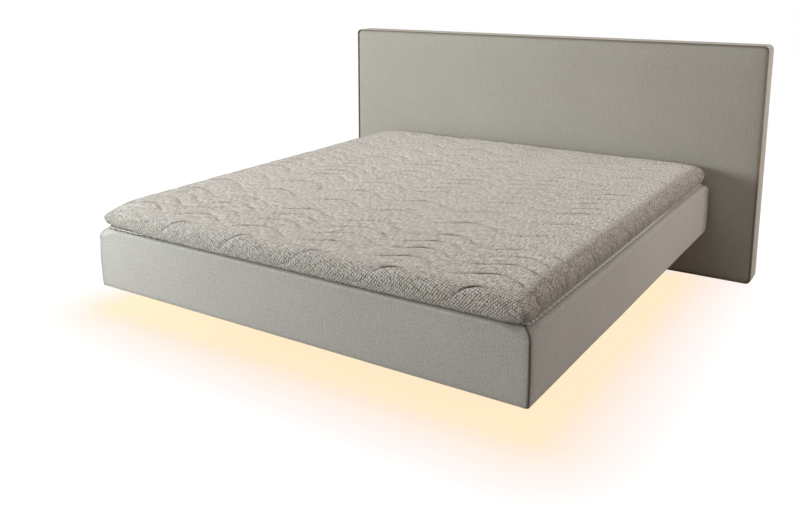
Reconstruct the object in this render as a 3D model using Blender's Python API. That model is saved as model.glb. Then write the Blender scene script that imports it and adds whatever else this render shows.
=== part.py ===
"""Floating bed: an upholstered box on a set-back plinth, with a light under its
edge, a floor-standing upholstered headboard and a quilted topper that lifts off.

Metres, +Z up. The foot end looks to -Y and the headboard stands at +Y. The origin
is on the floor, under the middle of the whole bed.
"""
import math

import bmesh
import bpy
from mathutils import Vector

# Driving sizes
BED_WIDTH = 1.860
BED_LENGTH = 2.080
BOX_HEIGHT = 0.240
FLOAT_HEIGHT = 0.236
HEADBOARD_WIDTH = 2.288
HEADBOARD_HEIGHT = 1.140
HEADBOARD_DEPTH = 0.125
TOPPER_WIDTH = 1.800
TOPPER_HEIGHT = 0.096
TOPPER_FOOT_INSET = 0.020
TOPPER_HEAD_GAP = 0.028

# Clearances and small shared sizes
FIT_GAP = 0.0003
HEAD_SEAM_GAP = 0.0006
CUT_OVERRUN = 0.004
TIMBER_EDGE = 0.0015
CORNER_STEPS = 5
ROUND_STEPS = 20

# Upholstered box
COVER_CLOTH = 0.004
COVER_CORNER_RADIUS = 0.028
COVER_LEAN = 0.003
COVER_HEM = 0.060
COVER_HEM_EDGE = 0.006
COVER_TOP_ROUND_ACROSS = 0.046
COVER_TOP_ROUND_DOWN = 0.038
COVER_ROUND_STEPS = 5
PANEL_BOARD = 0.015
RAIL_THICKNESS = 0.028
RAIL_HEIGHT = 0.150
SIDE_FOAM = 0.022
BEARER_WIDTH = 0.040
BEARER_HEIGHT = 0.055
BASE_CLEARANCE = 0.003
BASE_MEMBER_WIDTH = 0.030
BASE_MEMBER_HEIGHT = 0.055
SLAT_COUNT = 14
SLAT_WIDTH = 0.058
SLAT_THICKNESS = 0.010
SLAT_BOW = 0.014
SLAT_SEAT = 0.002
SLAT_STEPS = 6
CORE_CORNER_RADIUS = 0.020

# Plinth and its levelling feet
PLINTH_WIDTH = 1.200
PLINTH_BOARD = 0.018
PLINTH_CLEARANCE = 0.012
PLINTH_FOOT_SETBACK = 0.420
PLINTH_HEAD_SETBACK = 0.100
POST_SIDE = 0.055
POST_BORE_DEPTH = 0.060
SOCKET_RADIUS = 0.008
SOCKET_LENGTH = 0.032
SOCKET_FLANGE_RADIUS = 0.013
SOCKET_FLANGE = 0.0015
STEM_RADIUS = 0.005
STEM_LENGTH = 0.046
PAD_RADIUS = 0.025
PAD_HEIGHT = 0.009
PAD_CHAMFER = 0.003
HUB_RADIUS = 0.010
HUB_DROP = 0.004

# Light under the box
CHANNEL_INSET = 0.100
CHANNEL_WIDTH = 0.017
CHANNEL_HEIGHT = 0.008
CHANNEL_WALL = 0.0012
CHANNEL_HEAD_GAP = 0.120
STRIP_WIDTH = 0.010
STRIP_THICKNESS = 0.0015
DIFFUSER_THICKNESS = 0.0012
DRIVER_LENGTH = 0.190
DRIVER_WIDTH = 0.056
DRIVER_HEIGHT = 0.026
DRIVER_EDGE = 0.003
DRIVER_SETBACK = 0.160
INLET_WIDTH = 0.020
INLET_HEIGHT = 0.012
INLET_DEPTH = 0.014

# Headboard
HEADBOARD_CORNER_RADIUS = 0.022
BORDER_CLOTH = 0.003
PIPING_RADIUS = 0.0035
PIPING_PROUD = 0.0015
PIPING_SIDES = 8
FACE_CLOTH = 0.004
FACE_EDGE_DROP = 0.0078
FACE_CROWN = 0.110
FACE_FOAM = 0.040
FACE_BOARD = 0.010
BACK_CLOTH = 0.002
FRAME_INSET = 0.010
STILE_WIDTH = 0.070
FRAME_RAIL_WIDTH = 0.070
GLIDE_RADIUS = 0.016
GLIDE_HEIGHT = 0.004
BRACKET_SPACING = 0.900
BRACKET_WIDTH = 0.060
BRACKET_REACH = 0.075
BRACKET_DROP = 0.085
BRACKET_STEEL = 0.003

# Topper
TOPPER_CORNER_RADIUS = 0.055
TOPPER_FOOT_RADIUS = 0.022
TOPPER_SHEET = 0.002
TOPPER_SEAM_INSET = 0.020
SHEET_UPTURN = 0.012
ZIP_TAPE = 0.0025
ZIP_HEIGHT = 0.010
BORDER_WALL = 0.004
BORDER_TOP_INSET = 0.010
BORDER_TOP_DROP = 0.019
QUILT_RIM = 0.0035
QUILT_VALLEY = 0.0055
QUILT_SHOULDER = 0.080
QUILT_WAVE_LENGTH = 0.306
QUILT_WAVE_HEIGHT = 0.032
QUILT_WAVE_START = 0.155
QUILT_STITCH_STEP = 0.0850
QUILT_HEAD_LINE = 0.0434
SLIDER_LENGTH = 0.016
SLIDER_WIDTH = 0.006
SLIDER_HEIGHT = 0.008
PULL_LENGTH = 0.022
PULL_WIDTH = 0.007
PULL_THICKNESS = 0.0015
SLIDER_HEAD_INSET = 0.150

# The quilt repeats groups of stitch lines from the head: how many steps apart, how often
QUILT_GROUPS = ((1, 1), (2, 3), (1, 6), (2, 3), (1, 4))
# Bulge of the topper's side: share of the seam inset, share of the border's height
BORDER_BULGE_SHARES = ((1.0, 0.0), (0.28, 0.22), (0.0, 0.50), (0.06, 0.80))
# Crown of the headboard's face: share of the crown's width, share of the edge's drop
FACE_CROWN_SHARES = ((0.0, 1.0), (0.05, 0.50), (0.16, 0.20), (0.45, 0.04), (1.0, 0.0))

# Places worked out from the sizes
TOTAL_LENGTH = BED_LENGTH + HEAD_SEAM_GAP + HEADBOARD_DEPTH
FOOT_Y = -TOTAL_LENGTH / 2
BOX_HEAD_Y = FOOT_Y + BED_LENGTH
HEADBOARD_Y = BOX_HEAD_Y + HEAD_SEAM_GAP
BACK_Y = TOTAL_LENGTH / 2
BOX_TOP = FLOAT_HEIGHT + BOX_HEIGHT
PANEL_BOTTOM = FLOAT_HEIGHT + COVER_CLOTH + FIT_GAP
PANEL_TOP = PANEL_BOTTOM + PANEL_BOARD
FRAME_BOTTOM = PANEL_TOP + FIT_GAP
RAIL_TOP = FRAME_BOTTOM + RAIL_HEIGHT
RAIL_INSET = COVER_CLOTH + SIDE_FOAM + 2 * FIT_GAP
RAIL_INNER_INSET = RAIL_INSET + RAIL_THICKNESS
PLINTH_TOP = PANEL_BOTTOM - FIT_GAP
PLINTH_FOOT_Y = FOOT_Y + PLINTH_FOOT_SETBACK
PLINTH_HEAD_Y = BOX_HEAD_Y - PLINTH_HEAD_SETBACK
SLAT_CROWN = FRAME_BOTTOM + BASE_MEMBER_HEIGHT - SLAT_SEAT + SLAT_THICKNESS + SLAT_BOW
TOPPER_BOTTOM = BOX_TOP + FIT_GAP
TOPPER_TOP = BOX_TOP + TOPPER_HEIGHT
BORDER_BOTTOM = TOPPER_BOTTOM + SHEET_UPTURN + ZIP_HEIGHT + 2 * FIT_GAP
BORDER_TOP = TOPPER_TOP - BORDER_TOP_DROP
QUILT_BOTTOM = BORDER_TOP + FIT_GAP
HEADBOARD_BOTTOM = GLIDE_HEIGHT + FIT_GAP

BOX_PLAN = (-BED_WIDTH / 2, BED_WIDTH / 2, FOOT_Y, BOX_HEAD_Y)
TOPPER_PLAN = (-TOPPER_WIDTH / 2, TOPPER_WIDTH / 2, FOOT_Y + TOPPER_FOOT_INSET, BOX_HEAD_Y - TOPPER_HEAD_GAP)
HEADBOARD_FACE = (
    PIPING_PROUD - HEADBOARD_WIDTH / 2,
    HEADBOARD_WIDTH / 2 - PIPING_PROUD,
    HEADBOARD_BOTTOM,
    HEADBOARD_HEIGHT - PIPING_PROUD,
)


# Scene, materials and mesh helpers
def clear_scene():
    for obj in list(bpy.data.objects):
        bpy.data.objects.remove(obj, do_unlink=True)


def make_material(name, colour, roughness, metallic=0.0):
    material = bpy.data.materials.new(name)
    material.use_nodes = True
    surface = material.node_tree.nodes["Principled BSDF"]
    surface.inputs["Base Color"].default_value = (*colour, 1.0)
    surface.inputs["Roughness"].default_value = roughness
    surface.inputs["Metallic"].default_value = metallic
    material.diffuse_color = (*colour, 1.0)
    return material


def add_object(name, bm, material, smooth=False):
    bmesh.ops.recalc_face_normals(bm, faces=bm.faces[:])
    mesh = bpy.data.meshes.new(name)
    bm.to_mesh(mesh)
    bm.free()
    if smooth:
        mesh.shade_smooth()
        mesh.set_sharp_from_angle(angle=math.radians(35))
    mesh.materials.append(material)
    obj = bpy.data.objects.new(name, mesh)
    bpy.context.scene.collection.objects.link(obj)
    return obj


def loft(name, loops, material, closed=False, smooth=False):
    """Bridge loops that have as many points each. An open loft gets a cap at each end."""
    bm = bmesh.new()
    rows = [[bm.verts.new(point) for point in loop] for loop in loops]
    count = len(rows[0])
    pairs = list(zip(rows, rows[1:]))
    if closed:
        pairs.append((rows[-1], rows[0]))
    for low, high in pairs:
        for i in range(count):
            j = (i + 1) % count
            bm.faces.new((low[i], low[j], high[j], high[i]))
    if not closed:
        bm.faces.new(rows[0])
        bm.faces.new(rows[-1])
    return add_object(name, bm, material, smooth)


def rounded_outline(u0, u1, v0, v1, radius, steps=CORNER_STEPS, low_radius=None):
    """Points round a rectangle with round corners, anticlockwise; radius 0 gives its corners."""
    if radius <= 0:
        return [(u1, v0), (u1, v1), (u0, v1), (u0, v0)]
    low = low_radius or radius
    centres = (
        (u1 - low, v0 + low, -90, low),
        (u1 - radius, v1 - radius, 0, radius),
        (u0 + radius, v1 - radius, 90, radius),
        (u0 + low, v0 + low, 180, low),
    )
    points = []
    for cu, cv, start, bend in centres:
        for i in range(steps + 1):
            angle = math.radians(start + 90 * i / steps)
            points.append((cu + bend * math.cos(angle), cv + bend * math.sin(angle)))
    return points


def plan_loop(rect, inset, z, radius=0.0, foot_radius=None):
    """A level loop round a rectangle seen from above, drawn in by inset."""
    u0, u1, v0, v1 = rect
    outline = rounded_outline(u0 + inset, u1 - inset, v0 + inset, v1 - inset, radius, low_radius=foot_radius)
    return [Vector((x, y, z)) for x, y in outline]


def topper_loop(inset, z):
    """A level loop round the topper, whose corners are sharper at the foot than at the head."""
    return plan_loop(TOPPER_PLAN, inset, z, TOPPER_CORNER_RADIUS, TOPPER_FOOT_RADIUS)


def front_loop(rect, inset, depth, radius=0.0):
    """An upright loop round the headboard's face, at a depth behind its front."""
    u0, u1, v0, v1 = rect
    outline = rounded_outline(u0 + inset, u1 - inset, v0 + inset, v1 - inset, radius)
    return [Vector((x, HEADBOARD_Y + depth, z)) for x, z in outline]


def bevelled_block(name, x0, x1, y0, y1, z0, z1, material, edge=TIMBER_EDGE):
    rect = (x0, x1, y0, y1)
    block = loft(name, [plan_loop(rect, 0, z0), plan_loop(rect, 0, z1)], material)
    bevel = block.modifiers.new("edges", "BEVEL")
    bevel.width = edge
    bevel.segments = 1
    bevel.limit_method = "ANGLE"
    return block


def turned(name, profile, centre, material, closed=False):
    """Turn a profile of (radius, height) pairs about the upright line through centre."""
    loops = []
    for radius, height in profile:
        loop = []
        for i in range(ROUND_STEPS):
            angle = math.tau * i / ROUND_STEPS
            loop.append(Vector((
                centre.x + radius * math.cos(angle),
                centre.y + radius * math.sin(angle),
                centre.z + height,
            )))
        loops.append(loop)
    return loft(name, loops, material, closed=closed, smooth=True)


def as_helper(obj):
    """Keep a cutter or an added shape out of the finished part."""
    obj.hide_render = True
    obj.display_type = "WIRE"
    return obj


def combine(obj, other, operation):
    modifier = obj.modifiers.new(operation.lower(), "BOOLEAN")
    modifier.operation = operation
    modifier.object = as_helper(other)
    return obj


def side_of(points, index):
    """How far a point one unit to the left of a path lies from its corner, on the corner's mitre."""
    before = points[max(index - 1, 0)]
    after = points[min(index + 1, len(points) - 1)]
    here = points[index]
    ways = []
    if index > 0:
        ways.append((here - before).normalized())
    if index < len(points) - 1:
        ways.append((after - here).normalized())
    normals = [Vector((-way.y, way.x, 0)) for way in ways]
    if len(normals) == 1:
        return normals[0]
    return (normals[0] + normals[1]) / (1 + normals[0].dot(normals[1]))


def mitred_run(name, profile, points, first, last, material):
    """Sweep a profile of (side, height) pairs from one path point to another, mitred between runs."""
    loops = []
    for index in range(first, last + 1):
        centre = points[index].copy()
        if index == first and first > 0:
            centre += (points[index + 1] - points[index]).normalized() * FIT_GAP
        if index == last and last < len(points) - 1:
            centre += (points[index - 1] - points[index]).normalized() * FIT_GAP
        side = side_of(points, index)
        loops.append([centre + side * u + Vector((0, 0, w)) for u, w in profile])
    return loft(name, loops, material)


# Upholstered box
def make_box_cover(material):
    """A sewn cover with a closed top, whose hem turns under the base panel."""
    def skin(cloth):
        points = [
            (COVER_HEM, FLOAT_HEIGHT + cloth),
            (COVER_LEAN + COVER_HEM_EDGE + cloth, FLOAT_HEIGHT + cloth),
            (COVER_LEAN + cloth, FLOAT_HEIGHT + COVER_HEM_EDGE + cloth),
        ]
        for i in range(COVER_ROUND_STEPS + 1):
            angle = math.radians(90 * i / COVER_ROUND_STEPS)
            inset = COVER_TOP_ROUND_ACROSS * (1 - math.cos(angle))
            drop = COVER_TOP_ROUND_DOWN * (1 - math.sin(angle))
            points.append((inset + cloth, BOX_TOP - drop - cloth))
        return points

    outer = [plan_loop(BOX_PLAN, inset, z, COVER_CORNER_RADIUS) for inset, z in skin(0)]
    inner = [plan_loop(BOX_PLAN, inset, z, COVER_CORNER_RADIUS) for inset, z in skin(COVER_CLOTH)]
    return loft("box_cover", inner[::-1] + outer, material, smooth=True)


def make_edge_foam(material):
    """A foam ring that wraps the rails and rounds the box's upper edge."""
    reach = COVER_CLOTH + FIT_GAP
    top = BOX_TOP - reach
    profile = [(COVER_LEAN + reach, FRAME_BOTTOM)]
    for i in range(COVER_ROUND_STEPS + 1):
        angle = math.radians(90 * i / COVER_ROUND_STEPS)
        inset = COVER_TOP_ROUND_ACROSS * (1 - math.cos(angle))
        drop = COVER_TOP_ROUND_DOWN * (1 - math.sin(angle))
        profile.append((inset + reach, top - drop))
    over_rail = RAIL_TOP + FIT_GAP
    beside_rail = RAIL_INSET - FIT_GAP
    loops = [plan_loop(BOX_PLAN, inset, z, COVER_CORNER_RADIUS) for inset, z in profile]
    loops.append(plan_loop(BOX_PLAN, RAIL_INNER_INSET, top, CORE_CORNER_RADIUS))
    loops.append(plan_loop(BOX_PLAN, RAIL_INNER_INSET, over_rail, CORE_CORNER_RADIUS))
    loops.append(plan_loop(BOX_PLAN, beside_rail, over_rail, TIMBER_EDGE))
    loops.append(plan_loop(BOX_PLAN, beside_rail, FRAME_BOTTOM, TIMBER_EDGE))
    return loft("edge_foam", loops, material, closed=True, smooth=True)


def make_box_frame(timber, board):
    """Base panel, rails and centre bearer."""
    reach = COVER_LEAN + COVER_CLOTH + FIT_GAP
    loops = [
        plan_loop(BOX_PLAN, reach + COVER_HEM_EDGE, PANEL_BOTTOM, COVER_CORNER_RADIUS),
        plan_loop(BOX_PLAN, reach, PANEL_BOTTOM + COVER_HEM_EDGE, COVER_CORNER_RADIUS),
        plan_loop(BOX_PLAN, reach, PANEL_TOP, COVER_CORNER_RADIUS),
    ]
    loft("base_panel", loops, board)

    x0, x1, y0, y1 = BOX_PLAN
    outer_x = x1 - RAIL_INSET
    inner_x = x1 - RAIL_INNER_INSET
    outer_foot = y0 + RAIL_INSET
    inner_foot = y0 + RAIL_INNER_INSET
    outer_head = y1 - RAIL_INSET
    inner_head = y1 - RAIL_INNER_INSET
    for side, name in ((-1, "left_side_rail"), (1, "right_side_rail")):
        low, high = sorted((side * outer_x, side * inner_x))
        bevelled_block(name, low, high, outer_foot, outer_head, FRAME_BOTTOM, RAIL_TOP, timber)
    reach_x = inner_x - FIT_GAP
    bevelled_block("foot_rail", -reach_x, reach_x, outer_foot, inner_foot, FRAME_BOTTOM, RAIL_TOP, timber)
    bevelled_block("head_rail", -reach_x, reach_x, inner_head, outer_head, FRAME_BOTTOM, RAIL_TOP, timber)
    half = BEARER_WIDTH / 2
    bevelled_block(
        "centre_bearer", -half, half, inner_foot + FIT_GAP, inner_head - FIT_GAP,
        FRAME_BOTTOM, FRAME_BOTTOM + BEARER_HEIGHT, timber,
    )


def make_slatted_base(name, side, timber):
    """A ring of timber that carries bowed, springy slats glued into its side members."""
    near = BEARER_WIDTH / 2 + BASE_CLEARANCE
    far = BOX_PLAN[1] - RAIL_INNER_INSET - BASE_CLEARANCE
    x0, x1 = sorted((side * near, side * far))
    y0 = BOX_PLAN[2] + RAIL_INNER_INSET + BASE_CLEARANCE
    y1 = BOX_PLAN[3] - RAIL_INNER_INSET - BASE_CLEARANCE
    top = FRAME_BOTTOM + BASE_MEMBER_HEIGHT
    rect = (x0, x1, y0, y1)
    ring = loft(name, [
        plan_loop(rect, 0, FRAME_BOTTOM),
        plan_loop(rect, 0, top),
        plan_loop(rect, BASE_MEMBER_WIDTH, top),
        plan_loop(rect, BASE_MEMBER_WIDTH, FRAME_BOTTOM),
    ], timber, closed=True)

    end = BASE_MEMBER_WIDTH / 3
    span = x1 - x0 - 2 * end
    clear = (y1 - y0 - 2 * BASE_MEMBER_WIDTH - SLAT_COUNT * SLAT_WIDTH) / (SLAT_COUNT + 1)
    bm = bmesh.new()
    for i in range(SLAT_COUNT):
        foot = y0 + BASE_MEMBER_WIDTH + clear + i * (clear + SLAT_WIDTH)
        rows = []
        for step in range(SLAT_STEPS + 1):
            share = step / SLAT_STEPS
            x = x0 + end + span * share
            low = top - SLAT_SEAT + SLAT_BOW * (1 - (2 * share - 1) ** 2)
            corners = (
                (foot, low),
                (foot + SLAT_WIDTH, low),
                (foot + SLAT_WIDTH, low + SLAT_THICKNESS),
                (foot, low + SLAT_THICKNESS),
            )
            rows.append([bm.verts.new((x, y, z)) for y, z in corners])
        for left, right in zip(rows, rows[1:]):
            for a in range(4):
                b = (a + 1) % 4
                bm.faces.new((left[a], left[b], right[b], right[a]))
        bm.faces.new(rows[0])
        bm.faces.new(rows[-1])
    slats = add_object(name + "_slats_to_join", bm, timber)
    return combine(ring, slats, "UNION")


def make_mattress_core(name, side, material):
    near = FIT_GAP
    far = BOX_PLAN[1] - RAIL_INNER_INSET - FIT_GAP
    x0, x1 = sorted((side * near, side * far))
    rect = (x0, x1, BOX_PLAN[2] + RAIL_INNER_INSET + FIT_GAP, BOX_PLAN[3] - RAIL_INNER_INSET - FIT_GAP)
    low = SLAT_CROWN + FIT_GAP
    high = BOX_TOP - COVER_CLOTH - FIT_GAP
    loops = [plan_loop(rect, 0, z, CORE_CORNER_RADIUS) for z in (low, high)]
    return loft(name, loops, material, smooth=True)


# Plinth and its levelling feet
def make_plinth(board, timber, steel, plastic):
    half = PLINTH_WIDTH / 2
    inner = half - PLINTH_BOARD
    low = PLINTH_CLEARANCE
    for side, name in ((-1, "plinth_left_board"), (1, "plinth_right_board")):
        x0, x1 = sorted((side * half, side * inner))
        bevelled_block(name, x0, x1, PLINTH_FOOT_Y, PLINTH_HEAD_Y, low, PLINTH_TOP, board)
    reach = inner - FIT_GAP
    middle = (PLINTH_FOOT_Y + PLINTH_HEAD_Y - PLINTH_BOARD) / 2
    places = (
        ("plinth_foot_board", PLINTH_FOOT_Y),
        ("plinth_cross_board", middle),
        ("plinth_head_board", PLINTH_HEAD_Y - PLINTH_BOARD),
    )
    for name, y0 in places:
        bevelled_block(name, -reach, reach, y0, y0 + PLINTH_BOARD, low, PLINTH_TOP, board)

    beside = inner - FIT_GAP - POST_SIDE / 2
    foot_end = PLINTH_FOOT_Y + PLINTH_BOARD + FIT_GAP + POST_SIDE / 2
    head_end = PLINTH_HEAD_Y - PLINTH_BOARD - FIT_GAP - POST_SIDE / 2
    corners = (
        ("front_left", -beside, foot_end),
        ("front_right", beside, foot_end),
        ("rear_left", -beside, head_end),
        ("rear_right", beside, head_end),
    )
    for name, x, y in corners:
        make_plinth_post("plinth_post_" + name, x, y, timber)
        make_foot_socket("foot_socket_" + name, x, y, steel)
        make_levelling_foot("levelling_foot_" + name, x, y, plastic)


def make_plinth_post(name, x, y, timber):
    """A timber corner post, bored from below for the foot's threaded socket."""
    half = POST_SIDE / 2
    post = bevelled_block(name, x - half, x + half, y - half, y + half, PLINTH_CLEARANCE, PLINTH_TOP, timber)
    radius = SOCKET_RADIUS + FIT_GAP
    bore = turned(
        name + "_bore",
        ((radius, -CUT_OVERRUN), (radius, POST_BORE_DEPTH)),
        Vector((x, y, PLINTH_CLEARANCE)),
        timber,
    )
    return combine(post, bore, "DIFFERENCE")


def make_foot_socket(name, x, y, steel):
    """A flanged socket pressed into the post, tapped for the foot's stem."""
    bore = STEM_RADIUS + FIT_GAP
    flange_top = -FIT_GAP
    flange_low = flange_top - SOCKET_FLANGE
    profile = (
        (bore, flange_low),
        (SOCKET_FLANGE_RADIUS, flange_low),
        (SOCKET_FLANGE_RADIUS, flange_top),
        (SOCKET_RADIUS, flange_top),
        (SOCKET_RADIUS, SOCKET_LENGTH),
        (bore, SOCKET_LENGTH),
    )
    return turned(name, profile, Vector((x, y, PLINTH_CLEARANCE)), steel, closed=True)


def make_levelling_foot(name, x, y, plastic):
    profile = (
        (PAD_RADIUS - PAD_CHAMFER, 0),
        (PAD_RADIUS, PAD_CHAMFER),
        (PAD_RADIUS, PAD_HEIGHT - HUB_DROP),
        (HUB_RADIUS, PAD_HEIGHT),
        (STEM_RADIUS, PAD_HEIGHT),
        (STEM_RADIUS, STEM_LENGTH),
    )
    return turned(name, profile, Vector((x, y, 0)), plastic)


# Light under the box
def make_light(metal, strip, diffuser, housing):
    x1 = BOX_PLAN[1] - CHANNEL_INSET
    foot = BOX_PLAN[2] + CHANNEL_INSET
    head = BOX_PLAN[3] - CHANNEL_HEAD_GAP
    top = PANEL_BOTTOM - FIT_GAP
    path = [
        Vector((-x1, head, top)),
        Vector((-x1, foot, top)),
        Vector((x1, foot, top)),
        Vector((x1, head, top)),
    ]
    half = CHANNEL_WIDTH / 2
    inner = half - CHANNEL_WALL
    channel_profile = (
        (-half, -CHANNEL_HEIGHT),
        (-inner, -CHANNEL_HEIGHT),
        (-inner, -CHANNEL_WALL),
        (inner, -CHANNEL_WALL),
        (inner, -CHANNEL_HEIGHT),
        (half, -CHANNEL_HEIGHT),
        (half, 0),
        (-half, 0),
    )
    strip_top = -CHANNEL_WALL - FIT_GAP
    diffuser_reach = inner - FIT_GAP
    for i, side in enumerate(("left", "foot", "right")):
        mitred_run("light_channel_" + side, channel_profile, path, i, i + 1, metal)
        mitred_run(
            "light_diffuser_" + side,
            flat_profile(diffuser_reach, DIFFUSER_THICKNESS - CHANNEL_HEIGHT, DIFFUSER_THICKNESS),
            path, i, i + 1, diffuser,
        )
    mitred_run(
        "light_strip", flat_profile(STRIP_WIDTH / 2, strip_top, STRIP_THICKNESS), path, 0, len(path) - 1, strip,
    )
    make_driver(housing)


def flat_profile(half, top, thickness):
    return ((-half, top - thickness), (half, top - thickness), (half, top), (-half, top))


def make_driver(housing):
    """The light's supply, fixed under the base panel inside the plinth, with a bare inlet."""
    y1 = PLINTH_HEAD_Y - DRIVER_SETBACK
    y0 = y1 - DRIVER_WIDTH
    top = PANEL_BOTTOM - FIT_GAP
    half = DRIVER_LENGTH / 2
    driver = bevelled_block(
        "light_driver", -half, half, y0, y1, top - DRIVER_HEIGHT, top, housing, DRIVER_EDGE,
    )
    middle_y = (y0 + y1) / 2
    middle_z = top - DRIVER_HEIGHT / 2
    rect = (
        middle_y - INLET_WIDTH / 2,
        middle_y + INLET_WIDTH / 2,
        middle_z - INLET_HEIGHT / 2,
        middle_z + INLET_HEIGHT / 2,
    )
    outline = rounded_outline(*rect, INLET_HEIGHT / 3)
    loops = []
    for x in (half - INLET_DEPTH, half + CUT_OVERRUN):
        loops.append([Vector((x, y, z)) for y, z in outline])
    return combine(driver, loft("driver_inlet", loops, housing), "DIFFERENCE")


# Headboard
def make_headboard_cloth(face_cloth, border_cloth, cord, backing, foam):
    rect = HEADBOARD_FACE
    radius = HEADBOARD_CORNER_RADIUS
    cord_inset = PIPING_RADIUS - PIPING_PROUD
    cord_depth = PIPING_RADIUS
    behind_cord = 2 * PIPING_RADIUS + FIT_GAP
    inside_cord = cord_inset + PIPING_RADIUS + FIT_GAP
    in_border = BORDER_CLOTH + FIT_GAP

    border = [
        front_loop(rect, 0, behind_cord, radius),
        front_loop(rect, 0, HEADBOARD_DEPTH, radius),
        front_loop(rect, BORDER_CLOTH, HEADBOARD_DEPTH, radius),
        front_loop(rect, BORDER_CLOTH, behind_cord, radius),
    ]
    loft("headboard_border", border, border_cloth, closed=True, smooth=True)

    rings = []
    for i in range(PIPING_SIDES):
        angle = math.tau * i / PIPING_SIDES
        inset = cord_inset + PIPING_RADIUS * math.cos(angle)
        depth = cord_depth + PIPING_RADIUS * math.sin(angle)
        rings.append(front_loop(rect, inset, depth, radius - inset))
    loft("headboard_piping", rings, cord, closed=True, smooth=True)

    def face(first_inset, behind):
        loops = []
        for across_share, drop_share in FACE_CROWN_SHARES:
            inset = first_inset + FACE_CROWN * across_share
            loops.append(front_loop(rect, inset, FACE_EDGE_DROP * drop_share + behind, radius))
        return loops

    front = face(inside_cord, 0)
    reverse = face(inside_cord, FACE_CLOTH)
    loft("headboard_front_cover", front[::-1] + reverse, face_cloth, smooth=True)

    foam_back = FACE_CLOTH + FIT_GAP + FACE_FOAM
    foam_front = FACE_CLOTH + FIT_GAP
    pad = face(inside_cord, foam_front)[::-1]
    pad.append(front_loop(rect, in_border, foam_front + FACE_EDGE_DROP, radius))
    pad.append(front_loop(rect, in_border, foam_back, radius))
    loft("headboard_foam", pad, foam, smooth=True)

    back = [front_loop(rect, in_border, HEADBOARD_DEPTH - depth, radius) for depth in (BACK_CLOTH, 0)]
    loft("headboard_back_cloth", back, backing)
    return foam_back + FIT_GAP


def make_headboard_frame(board_depth, timber, board):
    """A sheet behind the foam, on a frame of two stiles and three rails."""
    rect = HEADBOARD_FACE
    in_border = BORDER_CLOTH + FIT_GAP
    sheet = [
        front_loop(rect, in_border, depth, HEADBOARD_CORNER_RADIUS)
        for depth in (board_depth, board_depth + FACE_BOARD)
    ]
    loft("headboard_board", sheet, board)

    y0 = HEADBOARD_Y + board_depth + FACE_BOARD + FIT_GAP
    y1 = BACK_Y - BACK_CLOTH - FIT_GAP
    x1 = rect[1] - FRAME_INSET
    low = rect[2] + FRAME_INSET
    high = rect[3] - FRAME_INSET
    inner = x1 - STILE_WIDTH
    for side, name in ((-1, "headboard_left_stile"), (1, "headboard_right_stile")):
        a, b = sorted((side * x1, side * inner))
        bevelled_block(name, a, b, y0, y1, low, high, timber)
    reach = inner - FIT_GAP
    fixing = FLOAT_HEIGHT - BRACKET_DROP / 2 - FRAME_RAIL_WIDTH / 2
    rails = (
        ("headboard_bottom_rail", low),
        ("headboard_fixing_rail", fixing),
        ("headboard_top_rail", high - FRAME_RAIL_WIDTH),
    )
    for name, z0 in rails:
        bevelled_block(name, -reach, reach, y0, y1, z0, z0 + FRAME_RAIL_WIDTH, timber)


def make_headboard_fittings(steel, plastic):
    """Glides under the stiles, and angle brackets that tie the headboard to the box."""
    stile_x = HEADBOARD_FACE[1] - FRAME_INSET - STILE_WIDTH / 2
    middle = HEADBOARD_Y + HEADBOARD_DEPTH / 2
    chamfer = GLIDE_HEIGHT / 4
    profile = (
        (GLIDE_RADIUS - chamfer, 0),
        (GLIDE_RADIUS, chamfer),
        (GLIDE_RADIUS, GLIDE_HEIGHT),
    )
    for side, name in ((-1, "headboard_left_glide"), (1, "headboard_right_glide")):
        turned(name, profile, Vector((side * stile_x, middle, 0)), plastic)

    top = FLOAT_HEIGHT - FIT_GAP
    front = HEADBOARD_Y - FIT_GAP
    profile = (
        (front, top),
        (front - BRACKET_REACH, top),
        (front - BRACKET_REACH, top - BRACKET_STEEL),
        (front - BRACKET_STEEL, top - BRACKET_STEEL),
        (front - BRACKET_STEEL, top - BRACKET_DROP),
        (front, top - BRACKET_DROP),
    )
    for side, name in ((-1, "left_headboard_bracket"), (1, "right_headboard_bracket")):
        x = side * BRACKET_SPACING / 2
        half = BRACKET_WIDTH / 2
        loops = [[Vector((x + edge, y, z)) for y, z in profile] for edge in (-half, half)]
        loft(name, loops, steel)


# Topper
def border_skin(wall):
    """Inset and height of the topper's side, drawn in towards its seams."""
    height = BORDER_TOP - BORDER_BOTTOM
    points = []
    for inset_share, height_share in BORDER_BULGE_SHARES:
        points.append((TOPPER_SEAM_INSET * inset_share + wall, BORDER_BOTTOM + height * height_share))
    points.append((BORDER_TOP_INSET + wall, BORDER_TOP))
    return points


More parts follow.
